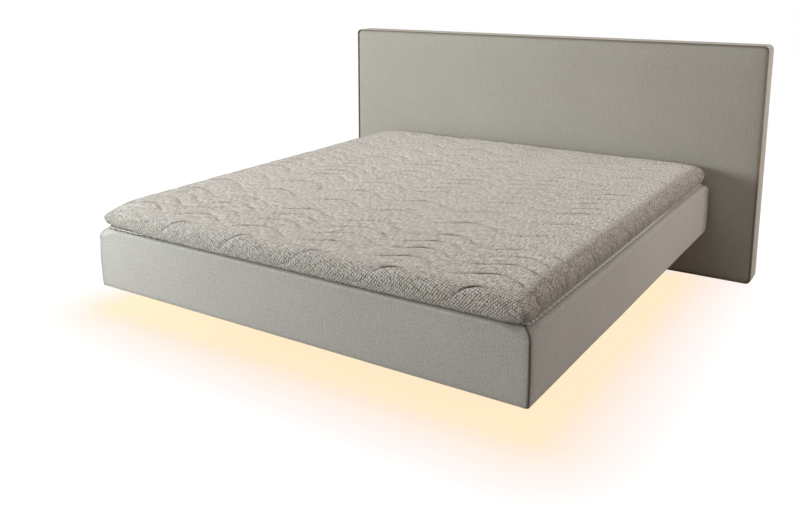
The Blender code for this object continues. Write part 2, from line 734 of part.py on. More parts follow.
def make_topper_sides(knit, tape, sheet, foam):
    upturn = TOPPER_BOTTOM + SHEET_UPTURN

    lip = TOPPER_SEAM_INSET + ZIP_TAPE
    tray = [
        topper_loop(lip, TOPPER_BOTTOM + TOPPER_SHEET),
        topper_loop(lip, upturn),
        topper_loop(lip - TOPPER_SHEET, upturn),
        topper_loop(lip - TOPPER_SHEET, TOPPER_BOTTOM + TOPPER_SHEET),
        topper_loop(lip, TOPPER_BOTTOM),
    ]
    loft("topper_base_cloth", tray, sheet, smooth=True)

    zip_low = upturn + FIT_GAP
    band = [
        topper_loop(TOPPER_SEAM_INSET, zip_low),
        topper_loop(TOPPER_SEAM_INSET, zip_low + ZIP_HEIGHT),
        topper_loop(TOPPER_SEAM_INSET + ZIP_TAPE, zip_low + ZIP_HEIGHT),
        topper_loop(TOPPER_SEAM_INSET + ZIP_TAPE, zip_low),
    ]
    loft("topper_zip_tape", band, tape, closed=True, smooth=True)

    outer = [topper_loop(inset, z) for inset, z in border_skin(0)]
    inner = [topper_loop(inset, z) for inset, z in border_skin(BORDER_WALL)]
    loft("topper_border", outer + inner[::-1], knit, closed=True, smooth=True)

    low = TOPPER_BOTTOM + TOPPER_SHEET + FIT_GAP
    foot_inset = TOPPER_SEAM_INSET + ZIP_TAPE + FIT_GAP
    reach = BORDER_WALL + FIT_GAP
    block = [
        topper_loop(foot_inset, low),
        topper_loop(foot_inset + reach - ZIP_TAPE, BORDER_BOTTOM),
    ]
    for inset, z in border_skin(reach)[1:]:
        block.append(topper_loop(inset, z))
    loft("topper_core", block, foam, smooth=True)


def stitch_lines(rect):
    """Places along the bed of the quilting lines, counted from the head end."""
    lines = [rect[3] - QUILT_HEAD_LINE]
    for steps, repeats in QUILT_GROUPS:
        for _ in range(repeats):
            lines.append(lines[-1] - steps * QUILT_STITCH_STEP)
    return [y for y in lines if y > rect[2] + QUILT_WAVE_HEIGHT][::-1]


def make_quilted_top(knit):
    """The topper's quilted sheet: wavy stitched valleys between raised channels, over a crown."""
    x0, x1, y0, y1 = TOPPER_PLAN
    rect = (x0 + BORDER_TOP_INSET, x1 - BORDER_TOP_INSET, y0 + BORDER_TOP_INSET, y1 - BORDER_TOP_INSET)
    half = rect[1]

    lines = stitch_lines(rect)
    rows = [(rect[2], 0, 0), (rect[2] + TOPPER_FOOT_RADIUS, 1, 0)]
    for i, y in enumerate(lines):
        before = lines[i - 1] if i else rect[2] + TOPPER_FOOT_RADIUS
        rows.append(((before + y) / 2, 1, 0))
        rows.append((y, 1, 1))
    rows.append(((lines[-1] + rect[3]) / 2, 1, 0))
    rows.append((rect[3], 0, 0))

    quarter = QUILT_WAVE_LENGTH / 4
    first = math.ceil((-half + quarter / 2 - QUILT_WAVE_START) / quarter)
    last = math.floor((half - quarter / 2 - QUILT_WAVE_START) / quarter)
    across = [-half] + [QUILT_WAVE_START + i * quarter for i in range(first, last + 1)] + [half]

    crown = TOPPER_TOP - QUILT_BOTTOM - QUILT_RIM
    bm = bmesh.new()
    grid = []
    for y, wavy, stitched in rows:
        line = []
        for x in across:
            wave = wavy * QUILT_WAVE_HEIGHT * math.cos(math.tau * (x - QUILT_WAVE_START) / QUILT_WAVE_LENGTH)
            room = min(y - rect[2], rect[3] - y)
            place = y + wave * min(1, room / (2 * QUILT_WAVE_HEIGHT))
            end = min(place - rect[2], rect[3] - place)
            radius = TOPPER_FOOT_RADIUS if place < 0 else TOPPER_CORNER_RADIUS
            corner = radius - math.sqrt(max(radius ** 2 - max(radius - end, 0) ** 2, 0))
            breadth = 1 - corner / half
            edge = min(end, half - abs(x))
            rise = math.sin(math.pi / 2 * min(1, edge / QUILT_SHOULDER))
            z = QUILT_BOTTOM + QUILT_RIM + crown * rise - QUILT_VALLEY * stitched * rise
            line.append(bm.verts.new((x * breadth, place, z)))
        grid.append(line)
    for low, high in zip(grid, grid[1:]):
        for i in range(len(across) - 1):
            bm.faces.new((low[i], low[i + 1], high[i + 1], high[i]))
    rim = grid[0] + [line[-1] for line in grid[1:]] + grid[-1][-2::-1] + [line[0] for line in grid[-2:0:-1]]
    under = [bm.verts.new((vert.co.x, vert.co.y, QUILT_BOTTOM)) for vert in rim]
    for i in range(len(rim)):
        j = (i + 1) % len(rim)
        bm.faces.new((rim[i], rim[j], under[j], under[i]))
    bm.faces.new(under)
    return add_object("topper_quilted_top", bm, knit, smooth=True)


def make_zip_slider(metal):
    """The slider and its pull, which run outside the zip tape on the topper's left side."""
    tape_x = TOPPER_PLAN[0] + TOPPER_SEAM_INSET
    y1 = TOPPER_PLAN[3] - SLIDER_HEAD_INSET
    y0 = y1 - SLIDER_LENGTH
    middle = TOPPER_BOTTOM + SHEET_UPTURN + FIT_GAP + ZIP_HEIGHT / 2
    x1 = tape_x - FIT_GAP
    body = bevelled_block(
        "topper_zip_slider", x1 - SLIDER_WIDTH, x1, y0, y1,
        middle - SLIDER_HEIGHT / 2, middle + SLIDER_HEIGHT / 2, metal,
    )
    inside = SLIDER_LENGTH / 4
    pull = bevelled_block(
        "zip_pull_to_join", x1 - SLIDER_WIDTH + PULL_THICKNESS, x1 - SLIDER_WIDTH + 2 * PULL_THICKNESS,
        y1 - inside, y1 - inside + PULL_LENGTH, middle - PULL_WIDTH / 2, middle + PULL_WIDTH / 2,
        metal, PULL_THICKNESS / 4,
    )
    return combine(body, pull, "UNION")


def build():
    clear_scene()
    box_fabric = make_material("box_fabric", (0.42, 0.41, 0.38), 0.92)
    headboard_fabric = make_material("headboard_fabric", (0.40, 0.38, 0.34), 0.92)
    piping_fabric = make_material("piping_fabric", (0.15, 0.11, 0.08), 0.85)
    knit_fabric = make_material("knit_fabric", (0.55, 0.49, 0.44), 0.95)
    zip_fabric = make_material("zip_fabric", (0.72, 0.72, 0.68), 0.80)
    white_cloth = make_material("white_cloth", (0.78, 0.78, 0.74), 0.90)
    black_cloth = make_material("black_cloth", (0.05, 0.05, 0.05), 0.90)
    foam = make_material("foam", (0.80, 0.76, 0.62), 0.95)
    timber = make_material("timber", (0.58, 0.42, 0.26), 0.65)
    sheet_board = make_material("sheet_board", (0.52, 0.40, 0.28), 0.70)
    dark_board = make_material("dark_board", (0.03, 0.03, 0.03), 0.60)
    steel = make_material("zinc_steel", (0.55, 0.56, 0.58), 0.40, 0.9)
    black_plastic = make_material("black_plastic", (0.03, 0.03, 0.03), 0.60)
    aluminium = make_material("aluminium", (0.75, 0.76, 0.78), 0.35, 0.9)
    strip_board = make_material("strip_board", (0.85, 0.84, 0.78), 0.60)
    opal_plastic = make_material("opal_plastic", (0.90, 0.84, 0.72), 0.55)

    make_box_cover(box_fabric)
    make_edge_foam(foam)
    make_box_frame(timber, sheet_board)
    make_slatted_base("left_slatted_base", -1, timber)
    make_slatted_base("right_slatted_base", 1, timber)
    make_mattress_core("left_mattress_core", -1, foam)
    make_mattress_core("right_mattress_core", 1, foam)

    make_plinth(dark_board, timber, steel, black_plastic)
    make_light(aluminium, strip_board, opal_plastic, black_plastic)

    board_depth = make_headboard_cloth(headboard_fabric, headboard_fabric, piping_fabric, black_cloth, foam)
    make_headboard_frame(board_depth, timber, sheet_board)
    make_headboard_fittings(steel, black_plastic)

    make_topper_sides(knit_fabric, zip_fabric, white_cloth, foam)
    make_quilted_top(knit_fabric)
    make_zip_slider(steel)


build()
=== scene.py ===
# %% [markdown]
# # A floating bed, dressed piece by piece
# The bed is an upholstered box that seems to float: its plinth stands far back, and a light
# strip glows under its edge. A tall headboard stands behind it and a quilted topper lies on it.
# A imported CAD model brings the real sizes, the hidden pieces and the joints. It could be shown
# with plain colours, but cloth lives from its seams, its fullness and its threads, so this
# script replaces the soft solids by sewn forms and gives every other piece a real finish.

import math
import time

import bmesh
import bpy
import numpy as np
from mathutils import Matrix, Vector, noise


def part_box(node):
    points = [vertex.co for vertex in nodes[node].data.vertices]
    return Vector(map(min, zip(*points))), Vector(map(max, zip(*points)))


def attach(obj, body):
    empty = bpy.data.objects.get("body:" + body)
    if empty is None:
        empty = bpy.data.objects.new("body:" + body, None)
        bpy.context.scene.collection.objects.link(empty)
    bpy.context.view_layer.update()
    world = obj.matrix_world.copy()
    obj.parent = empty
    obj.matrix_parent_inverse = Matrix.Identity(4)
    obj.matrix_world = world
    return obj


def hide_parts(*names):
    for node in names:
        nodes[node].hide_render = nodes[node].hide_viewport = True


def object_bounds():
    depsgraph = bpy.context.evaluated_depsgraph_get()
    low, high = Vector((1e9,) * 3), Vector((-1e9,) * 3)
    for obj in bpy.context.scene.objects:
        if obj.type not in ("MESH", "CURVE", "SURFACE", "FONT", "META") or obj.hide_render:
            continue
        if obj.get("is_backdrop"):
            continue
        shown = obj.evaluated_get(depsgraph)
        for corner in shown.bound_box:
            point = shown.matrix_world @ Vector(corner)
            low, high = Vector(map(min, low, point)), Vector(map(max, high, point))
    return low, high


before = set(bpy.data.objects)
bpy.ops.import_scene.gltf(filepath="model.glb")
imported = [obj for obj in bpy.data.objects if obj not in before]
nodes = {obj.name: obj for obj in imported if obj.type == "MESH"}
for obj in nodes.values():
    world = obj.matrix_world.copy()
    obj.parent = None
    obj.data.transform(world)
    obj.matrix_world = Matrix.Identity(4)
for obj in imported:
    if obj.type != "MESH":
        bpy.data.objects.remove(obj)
cad_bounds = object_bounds()

# %% [markdown]
# ## The camera
# The camera was fitted to the straight edges of the box and the headboard. It looks down at
# eleven degrees, which would let the uprights lean more than they do in the picture, so the
# lens is shifted a little, as an architecture photographer shifts it. A level camera with a
# larger shift would hold them quite upright, but no other view could frame the bed then.
# Depth of field stays off.

# %% Camera
IMAGE_WIDTH = 796
FOCAL_PIXELS = 853.2
AXIS_ABOVE_MIDDLE = 117.0
EYE = Vector((1.8305, -3.1864, 1.4586))
EYE_YAW = -0.5732
EYE_PITCH = 0.1914
SENSOR = 36.0


def bring_in(name, data):
    """A new object in the scene that holds the data."""
    made = bpy.data.objects.new(name, data)
    bpy.context.scene.collection.objects.link(made)
    return made


def aim(thing, place, direction):
    """Put a camera or a lamp at a place and let it look along a direction."""
    thing.location = place
    thing.rotation_mode = "QUATERNION"
    thing.rotation_quaternion = direction.to_track_quat("-Z", "Y")


camera_data = bpy.data.cameras.new("studio_camera")
camera_data.sensor_width = SENSOR
camera_data.lens = SENSOR * FOCAL_PIXELS / IMAGE_WIDTH
camera_data.shift_y = -AXIS_ABOVE_MIDDLE / IMAGE_WIDTH
camera = bring_in("studio_camera", camera_data)
aim(camera, EYE, Vector((
    math.sin(EYE_YAW) * math.cos(EYE_PITCH),
    math.cos(EYE_YAW) * math.cos(EYE_PITCH),
    -math.sin(EYE_PITCH),
)))
bpy.context.scene.camera = camera
bpy.context.scene.view_settings.view_transform = "Standard"
print("lens", round(camera_data.lens, 2), "mm, shift", round(camera_data.shift_y, 3))

# %% [markdown]
# ## Colours and nodes
# Colours are written as the sRGB hex values that an eye reads from a screen, and one function
# turns them to the linear values that light adds up in. Shader trees could be wired by hand,
# but one small function that adds any node with its settings and links keeps them readable.

# %% Colour and node helpers
MM = 0.001


def linear(text):
    """An sRGB hex colour as linear red, green, blue and alpha."""
    channels = [int(text[i:i + 2], 16) / 255 for i in (1, 3, 5)]
    bent = [c / 12.92 if c <= 0.04045 else ((c + 0.055) / 1.055) ** 2.4 for c in channels]
    return (*bent, 1.0)


def put(tree, kind, settings=None, feeds=None):
    """Add a shader node: settings are its properties, plain inputs and ramp stops, feeds its links."""
    made = tree.nodes.new("ShaderNode" + kind)
    for key, value in (settings or {}).items():
        if key == "stops":
            for _ in value[2:]:
                made.color_ramp.elements.new(0.5)
            for element, (place, colour) in zip(made.color_ramp.elements, value):
                element.position = place
                element.color = linear(colour)
        elif isinstance(key, int) or key in made.inputs:
            made.inputs[key].default_value = value
        else:
            setattr(made, key, value)
    for key, source in (feeds or {}).items():
        tree.links.new(source if hasattr(source, "is_linked") else source.outputs[0], made.inputs[key])
    return made


def new_finish(name, **surface):
    """A named material, its tree and its surface shader, whose constant values sit on its own sockets."""
    material = bpy.data.materials.new(name)
    material.use_nodes = True
    shader = material.node_tree.nodes["Principled BSDF"]
    for key, value in surface.items():
        shader.inputs[key.replace("_", " ").title().replace("Ior", "IOR")].default_value = value
    return material, material.node_tree, shader


def wear(tree, shader, colour, height=None, strength=0.5, distance=0.0002):
    """Link a colour, and a height as fine relief, to the surface shader."""
    tree.links.new(colour.outputs[2] if colour.bl_idname == "ShaderNodeMix" else colour.outputs[0],
                   shader.inputs["Base Color"])
    if height is not None:
        relief = put(tree, "Bump", {"Strength": strength, "Distance": distance}, {"Height": height})
        tree.links.new(relief.outputs["Normal"], shader.inputs["Normal"])


print("mid grey #808080 is", round(linear("#808080")[0], 3), "in linear light")

# %% [markdown]
# ## Woven cloth
# The box and the headboard wear one flat-woven polyester of a melange yarn: dull, slightly
# green-grey, with threads a millimetre thick and short thick places, called slubs, along the
# warp. An image would give the threads for one size only. Here two sine waves make the weave:
# their product is a small dome over each crossing. The threads are finer than a pixel of the
# picture, so the melange and the slubs are drawn a few millimetres coarse, as coarse as they
# need to be to show.

# %% Woven cloth
CLOTH_UV = "Cloth"
MELANGE_MM = 6.5
SLUB_MM = (3.5, 70.0)
SHADE_PATCH = 0.28
THREAD_RELIEF_MM = 0.25
DOME_SHARE, PATCH_SHARE, TONE_LEVEL = 0.5, 0.14, 0.30
SEAM_SHARE, SLUB_RELIEF = 0.6, 0.6


def woven_cloth(name, light, dark, thread, grain=0.60, slub=0.16):
    """Plain weave on cloth coordinates: thread spacing in mm, share of melange and slub in its colour, and
    painted shade from a number on the mesh.
    """
    material, tree, shader = new_finish(
        name, roughness=0.92, sheen_weight=0.12, sheen_roughness=0.6, specular_ior_level=0.25,
    )
    cloth = put(tree, "UVMap", {"uv_map": CLOTH_UV})
    turns = math.pi / (thread * MM)
    counts = put(tree, "Mapping", {"Scale": (turns, turns, 1)}, {"Vector": cloth})
    axes = put(tree, "SeparateXYZ", feeds={"Vector": counts})
    warp = put(tree, "Math", {"operation": "SINE"}, {0: axes.outputs["X"]})
    weft = put(tree, "Math", {"operation": "SINE"}, {0: axes.outputs["Y"]})
    crossing = put(tree, "Math", {"operation": "MULTIPLY"}, {0: warp, 1: weft})
    dome = put(tree, "Math", {"operation": "ABSOLUTE"}, {0: crossing})
    yarn = {"Scale": 1 / (MELANGE_MM * MM), "Detail": 3.0, "Roughness": 0.7}
    melange = put(tree, "TexNoise", yarn, {"Vector": cloth})
    stretch = (1 / (SLUB_MM[0] * MM), 1 / (SLUB_MM[1] * MM), 1)
    long_way = put(tree, "Mapping", {"Scale": stretch}, {"Vector": cloth})
    slubs = put(tree, "TexNoise", {"Scale": 1.0, "Detail": 2.0}, {"Vector": long_way})
    patches = put(tree, "TexNoise", {"Scale": 1 / SHADE_PATCH, "Detail": 2.0}, {"Vector": cloth})
    level = TONE_LEVEL - grain - slub
    tone = put(tree, "Math", {"operation": "MULTIPLY_ADD", 1: DOME_SHARE, 2: level}, {0: dome})
    for share, source in ((2 * grain, melange), (2 * slub, slubs), (PATCH_SHARE, patches)):
        tone = put(tree, "Math", {"operation": "MULTIPLY_ADD", 1: share}, {0: source, 2: tone})
    yarns = put(tree, "ValToRGB", {"stops": [(0.0, dark), (0.9, light)]}, {"Fac": tone})
    # Painted shade: a number on each point of the mesh mixes the cloth towards a dark brown beside seams
    seam = put(tree, "Attribute", {"attribute_name": "seam_near"})
    shade = put(tree, "Math", {"operation": "MULTIPLY", 1: SEAM_SHARE}, {0: seam.outputs["Fac"]})
    colour = put(tree, "Mix", {"data_type": "RGBA", 7: linear("#4A4038")}, {0: shade, 6: yarns})
    height = put(tree, "Math", {"operation": "MULTIPLY_ADD", 1: SLUB_RELIEF}, {0: slubs, 2: dome})
    wear(tree, shader, colour, height, 0.6, THREAD_RELIEF_MM * MM)
    return material


print("melange drawn at", MELANGE_MM, "mm, slubs at", SLUB_MM, "mm")

# %% Woven finishes
# Flat-woven melange polyester: matt and faintly grainy, so broad soft light models the box
box_cloth = woven_cloth("box_flat_woven_polyester", "#DDDAD6", "#928D88", 1.3)
# The same weave, darker than the box's cloth, which sets the headboard back behind the pale topper
headboard_cloth = woven_cloth("headboard_flat_woven_polyester", "#C0BBB2", "#807B73", 1.3)
# Cloth wound tight round a cord: dark and narrow, a drawn line round the headboard's face
piping_cloth = woven_cloth("piping_woven_cord_cover", "#8E8072", "#5A4F44", 1.0)
# Bleached cotton twill: plain and nearly white, the brightest cloth, seen as a thin line
white_cotton = woven_cloth("base_white_cotton_twill", "#FBFBF7", "#DEDED8", 0.8, grain=0.04, slub=0.02)
# Woven zip tape: white as well, but duller than cotton, with close even threads
zip_polyester = woven_cloth("zip_tape_white_polyester", "#E6E5DF", "#AFAEA6", 0.7, grain=0.04, slub=0.02)
# Twisted polyester sewing thread: dark and dull, so that a seam reads as a fine line
seam_thread = woven_cloth("seam_twisted_polyester_thread", "#6F675C", "#3B352E", 0.5, grain=0.05, slub=0.0)
woven = (box_cloth, headboard_cloth, piping_cloth, white_cotton, zip_polyester, seam_thread)
print("woven finishes:", [material.name for material in woven])

# %% [markdown]
# ## The topper's knit
# The topper wears a thick double knit of boucle yarn in sand and grey: short raised dashes that
# follow each other in diagonal ribs, darker gaps between them, and pale tufts where the yarn
# thickens. A weave would look too flat and an even stripe too clean, so the ribs are a sine
# wave across, broken along into stitches that shift by half from rib to rib, and a noise bends
# both. The real ribs are finer than a pixel, so these stand seven and a half millimetres apart,
# about two pixels. On the pad's edge the tufts are shorter, which one attribute of the mesh
# tells, and another darkens the yarn where a sewn valley gathers shade.

# %% Measures of the knit
RIB_MM = 7.4
STITCH_MM = 9.0
FUZZ_MM = 4.0
DRIFT_MM, DRIFT_REACH_MM = 17.0, 8.5
TUFT_MM = (8.5, 24.0, 24.0)
EDGE_TUFT_MM = (8.5, 12.0, 12.0)
YARN_PATCH = 0.2
RIB_TURN = math.radians(45)
YARN_PATCH_SHARE, RELIEF_SHARE, TUFT_SHARE, YARN_LEVEL = 0.10, 1.15, 2.25, -1.495
DASH_SHARE, FUZZ_SHARE, VALLEY_SHARE = 0.41, 1.1, 0.85
KNIT_RELIEF_MM = 1.8
print("knit ribs every", RIB_MM, "mm, stitches every", STITCH_MM, "mm")


# %% Knit finish
def boucle_knit(name, crest, middle, gap, valley):
    """Diagonal ribs of raised dashes on cloth coordinates, with painted shade near the seams and edges."""
    material, tree, shader = new_finish(
        name, roughness=0.95, sheen_weight=0.2, sheen_roughness=0.7, specular_ior_level=0.2,
    )
    cloth = put(tree, "UVMap", {"uv_map": CLOTH_UV})
    wander = {"Scale": 1 / (DRIFT_MM * MM), "Detail": 3.0, "Roughness": 0.65}
    drift = put(tree, "TexNoise", wander, {"Vector": cloth})
    bent = put(
        tree, "VectorMath", {"operation": "MULTIPLY_ADD", 1: (DRIFT_REACH_MM * MM,) * 3},
        {0: drift.outputs["Color"], 2: cloth},
    )
    turned = put(tree, "VectorRotate", {"Angle": RIB_TURN}, {"Vector": bent})
    pitch = (math.tau / (RIB_MM * MM), math.tau / (STITCH_MM * MM), 1)
    counts = put(tree, "Mapping", {"Scale": pitch}, {"Vector": turned})
    axes = put(tree, "SeparateXYZ", feeds={"Vector": counts})
    rib_wave = put(tree, "Math", {"operation": "COSINE"}, {0: axes.outputs["X"]})
    rib = put(tree, "Math", {"operation": "MULTIPLY_ADD", 1: 0.5, 2: 0.5}, {0: rib_wave})
    rib_half = put(tree, "Math", {"operation": "ADD", 1: math.pi}, {0: axes.outputs["X"]})
    rib_number = put(tree, "Math", {"operation": "SNAP", 1: math.tau}, {0: rib_half})
    shifted = put(tree, "Math", {"operation": "MULTIPLY_ADD", 1: 0.5}, {0: rib_number, 2: axes.outputs["Y"]})
    dash_wave = put(tree, "Math", {"operation": "COSINE"}, {0: shifted})
    dash = put(tree, "Math", {"operation": "MULTIPLY_ADD", 1: DASH_SHARE, 2: 1 - DASH_SHARE}, {0: dash_wave})
    stitches = put(tree, "Math", {"operation": "MULTIPLY"}, {0: rib, 1: dash})
    tuft_kinds = []
    for sizes in (TUFT_MM, EDGE_TUFT_MM):
        room = put(tree, "Mapping", {"Scale": tuple(1 / (size * MM) for size in sizes)}, {"Vector": cloth})
        grain = {"Scale": 1.0, "Detail": 2.5, "Roughness": 0.7}
        tuft_kinds.append(put(tree, "TexNoise", grain, {"Vector": room}))
    on_edge = put(tree, "Attribute", {"attribute_name": "edge_share"})
    tuft_feeds = {0: on_edge.outputs["Fac"], 2: tuft_kinds[0], 3: tuft_kinds[1]}
    tufts = put(tree, "Mix", {"data_type": "FLOAT"}, tuft_feeds)
    fluff = {"Scale": 1 / (FUZZ_MM * MM), "Detail": 4.0, "Roughness": 0.75}
    fuzz = put(tree, "TexNoise", fluff, {"Vector": cloth})
    height = put(tree, "Math", {"operation": "MULTIPLY_ADD", 1: FUZZ_SHARE}, {0: fuzz, 2: stitches})
    patches = put(tree, "TexNoise", {"Scale": 1 / YARN_PATCH, "Detail": 2.0}, {"Vector": cloth})
    yarn_tone = {"operation": "MULTIPLY_ADD", 1: YARN_PATCH_SHARE, 2: YARN_LEVEL}
    tone = put(tree, "Math", yarn_tone, {0: patches})
    for share, source in ((RELIEF_SHARE, height), (TUFT_SHARE, tufts)):
        tone = put(tree, "Math", {"operation": "MULTIPLY_ADD", 1: share}, {0: source, 2: tone})
    colour = put(tree, "ValToRGB", {"stops": [(0.28, gap), (0.60, middle), (0.95, crest)]}, {"Fac": tone})
    # Painted shade: a number on each point of the mesh mixes the yarn towards the valley's dark colour
    seam = put(tree, "Attribute", {"attribute_name": "seam_near"})
    shade = put(tree, "Math", {"operation": "MULTIPLY", 1: VALLEY_SHARE}, {0: seam.outputs["Fac"]})
    knit_with_painted_shade = put(tree, "Mix", {"data_type": "RGBA", 7: linear(valley)}, {0: shade, 6: colour})
    wear(tree, shader, knit_with_painted_shade, height, 0.85, KNIT_RELIEF_MM * MM)
    return material


# Boucle double knit: pale tufts over brown gaps read as a soft, deep, sandy grain
# Its last colour is the painted shade's, in the valleys and along the drawn-in edges
topper_knit = boucle_knit("topper_boucle_double_knit", "#EBE6E1", "#CCC5BE", "#857A70", "#54483D")
print("knit:", topper_knit.name, "with", len(topper_knit.node_tree.nodes), "nodes")

# %% [markdown]
# ## Mesh helpers
# Two ways of making cloth meshes serve the whole bed. A band that runs round a rectangle, such
# as the box's side or the piping, is a stack of rings with as many points each. A pad with a
# sewn top is one panel that wraps over its edges. Both are plain lists of points and quads, so
# every seam lies where a row or a column of points lies.

# %% Rings round a rectangle
CORNER_TURNS = (0, 9, 18, 26, 33, 39, 43, 45, 47, 51, 57, 64, 72, 81, 90)
END_CROWDING = 0.82


def ring(rect, inset, radius, pace, foot_radius=None):
    """Points round a rectangle with round corners, as many for every inset."""
    low = foot_radius or radius
    u0, u1, v0, v1 = rect
    counts = (round((v1 - v0) / pace), round((u1 - u0) / pace)) * 2
    u0, u1, v0, v1 = u0 + inset, u1 - inset, v0 + inset, v1 - inset
    centres = (
        (u1 - low, v0 + low, -90, low),
        (u1 - radius, v1 - radius, 0, radius),
        (u0 + radius, v1 - radius, 90, radius),
        (u0 + low, v0 + low, 180, low),
    )
    arcs = []
    for cu, cv, start, bend in centres:
        angles = np.radians(start + np.array(CORNER_TURNS, float))
        arcs.append(np.stack([cu + bend * np.cos(angles), cv + bend * np.sin(angles)], 1))
    points = []
    for arc, after, count in zip(arcs, arcs[1:] + arcs[:1], counts):
        points.append(arc)
        shares = np.linspace(0, 1, count + 1)[1:-1, None]
        shares = shares - END_CROWDING * np.sin(math.tau * shares) / math.tau
        points.append(arc[-1] * (1 - shares) + after[0] * shares)
    return np.concatenate(points)


print("a ring round 2 by 2 m has", len(ring((-1, 1, -1, 1), 0, 0.03, 0.02)), "points")

# %% Faces and shares
TINY = 1e-9


def stack_faces(rows, count, closed=False):
    """Quads between rings of as many points each; closed joins the last ring to the first."""
    faces = []
    for row in range(rows if closed else rows - 1):
        low, high = row * count, (row + 1) % rows * count
        for i in range(count):
            j = (i + 1) % count
            faces.append((low + i, low + j, high + j, high + i))
    return faces


def grid_faces(rows, columns):
    """Quads of a grid of points, row by row."""
    return [
        (r * columns + c, r * columns + c + 1, (r + 1) * columns + c + 1, (r + 1) * columns + c)
        for r in range(rows - 1) for c in range(columns - 1)
    ]


def grid_normals(points):
    """The direction that each point of a grid faces."""
    normals = np.cross(np.gradient(points, axis=1), np.gradient(points, axis=0))
    return normals / np.maximum(np.linalg.norm(normals, axis=2), TINY)[..., None]


def ramp(values, start, width):
    """0 up to the start, then evenly up to 1 over the width."""
    return np.clip((values - start) / width, 0, 1)


def share_of(part, *others):
    """The part's share of the sum, also where the sum is nothing."""
    return part / np.maximum(part + sum(others), TINY)


print("3 by 4 points make", len(grid_faces(3, 4)), "quads")


# %% Cloth coordinates
def read(parts, key, width=1):
    """A whole number, or a vector, of every vertex, corner or face, as an array."""
    values = np.zeros(len(parts) * width, float if width > 1 else int)
    parts.foreach_get(key, values)
    return values.reshape(-1, width) if width > 1 else values


def lay_cloth(mesh):
    """Write cloth coordinates in metres, each face laid flat along its own main direction."""
    layer = mesh.uv_layers.new(name=CLOTH_UV)
    points = read(mesh.vertices, "co", 3)[read(mesh.loops, "vertex_index")]
    faced = np.abs(read(mesh.polygons, "normal", 3)).argmax(1)
    main = np.repeat(faced, read(mesh.polygons, "loop_total"))
    first = np.where(main == 0, points[:, 1], points[:, 0])
    second = np.where(main == 2, points[:, 1], points[:, 2])
    layer.data.foreach_set("uv", np.stack([first, second], 1).ravel())


print("each face is laid flat along its main direction, in", CLOTH_UV)


# %% Pieces
def add_piece(name, points, faces, finish, body, hides=(), thickness=0.0):
    """Make a smooth mesh piece that rides on a body, wears a slot's finish and stands for CAD nodes."""
    mesh = bpy.data.meshes.new(name)
    mesh.from_pydata(np.asarray(points).tolist(), [], [tuple(map(int, face)) for face in faces])
    lay_cloth(mesh)
    mesh.shade_smooth()
    mesh.materials.append(finish)
    piece = bring_in(name, mesh)
    if thickness:
        thicken(piece, "cloth thickness", thickness)
    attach(piece, body)
    if hides:
        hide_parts(*hides)
    return piece


def thicken(piece, name, thickness):
    """Give a sheet of mesh its thickness, inward from the side that shows."""
    layer = piece.modifiers.new(name, "SOLIDIFY")
    layer.thickness = thickness
    layer.offset = -1


def mark(piece, name, values):
    """Give each point of a piece a number that its finish reads."""
    numbers = piece.data.attributes.new(name, "FLOAT", "POINT")
    numbers.data.foreach_set("value", np.ravel(values))


# %% Smooth noise
NOISE_GAIN = 1.6
NOISE_STEP = (7.1, 3.7, 1.9)


def ripple(points, size, seed):
    """Smooth noise from -1 to 1 at each point, with features of that size in metres."""
    shift = Vector([seed * step for step in NOISE_STEP])
    values = [noise.noise(Vector(point) / size + shift) for point in points.reshape(-1, 3)]
    return np.array(values).reshape(points.shape[:-1]) * NOISE_GAIN


print("noise at two points:", ripple(np.eye(2, 3), 0.3, 1).round(2))

# %% [markdown]
# ## The box cover
# The cover is sewn from a top and four side panels, pulled over the foam and stapled under the
# box. A bevelled block would have the size, but not the look: the side panels belly out by a
# few millimetres, the upper edge is tight along the sides and softens towards the corners, and
# the four upright seams draw the cloth in. So the cover is a stack of rings that follows that
# profile, and the rings dip inward at the corner's middle, where the seam is.

# %% Box cover's profile
cover_low, cover_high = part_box("box_cover")
BOX_RECT = (cover_low.x, cover_high.x, cover_low.y, cover_high.y)
BOX_BOTTOM, BOX_TOP = cover_low.z, cover_high.z
UNDER_EDGE = ((0.060, 0.0004), (0.020, 0.0), (0.0105, 0.0002), (0.0062, 0.0017), (0.0040, 0.0050))
WALL_FOOT, WALL_INSET, ROUND_INSET = 0.005, 0.0030, 0.0010
WALL_POINTS, ROUND_POINTS = 15, 12
SIDE_BELLY = 0.0028
TOP_ROUND_ACROSS, TOP_ROUND_DOWN = 0.010, 0.009
TOP_INSETS = (0.08, 0.16, 0.30, 0.50, 0.70, 0.88)

cover_profile = [(inset, BOX_BOTTOM + rise) for inset, rise in UNDER_EDGE]
wall_top = BOX_TOP - TOP_ROUND_DOWN
for share in np.linspace(0, 1, WALL_POINTS)[1:-1]:
    belly = SIDE_BELLY * math.sin(math.pi * share)
    rise = WALL_FOOT + share * (wall_top - BOX_BOTTOM - WALL_FOOT)
    cover_profile.append((WALL_INSET - belly, BOX_BOTTOM + rise))
for angle in np.radians(np.linspace(0, 90, ROUND_POINTS)):
    inset = TOP_ROUND_ACROSS * (1 - math.cos(angle))
    cover_profile.append((inset + ROUND_INSET, wall_top + TOP_ROUND_DOWN * math.sin(angle)))
cover_profile += [(inset, BOX_TOP) for inset in TOP_INSETS]
print("box cover's profile", len(cover_profile), "points")

# %% Box cover's rings
COVER_RADIUS = 0.008
COVER_PACE = 0.020
SIDE_REACH = 0.05
SIDE_TOLERANCE = 0.001
CORNER_SOFT_ACROSS, CORNER_SOFT_DOWN, CORNER_SOFT_WIDTH = 0.036, 0.029, 0.060
SIDE_SOFT = 0.20
SEAM_DIP, SEAM_DIP_WIDTH = 0.0026, 0.0030
SEAM_SHADE_FOOT, SEAM_SHADE_SIDE = 0.0085, 0.0150

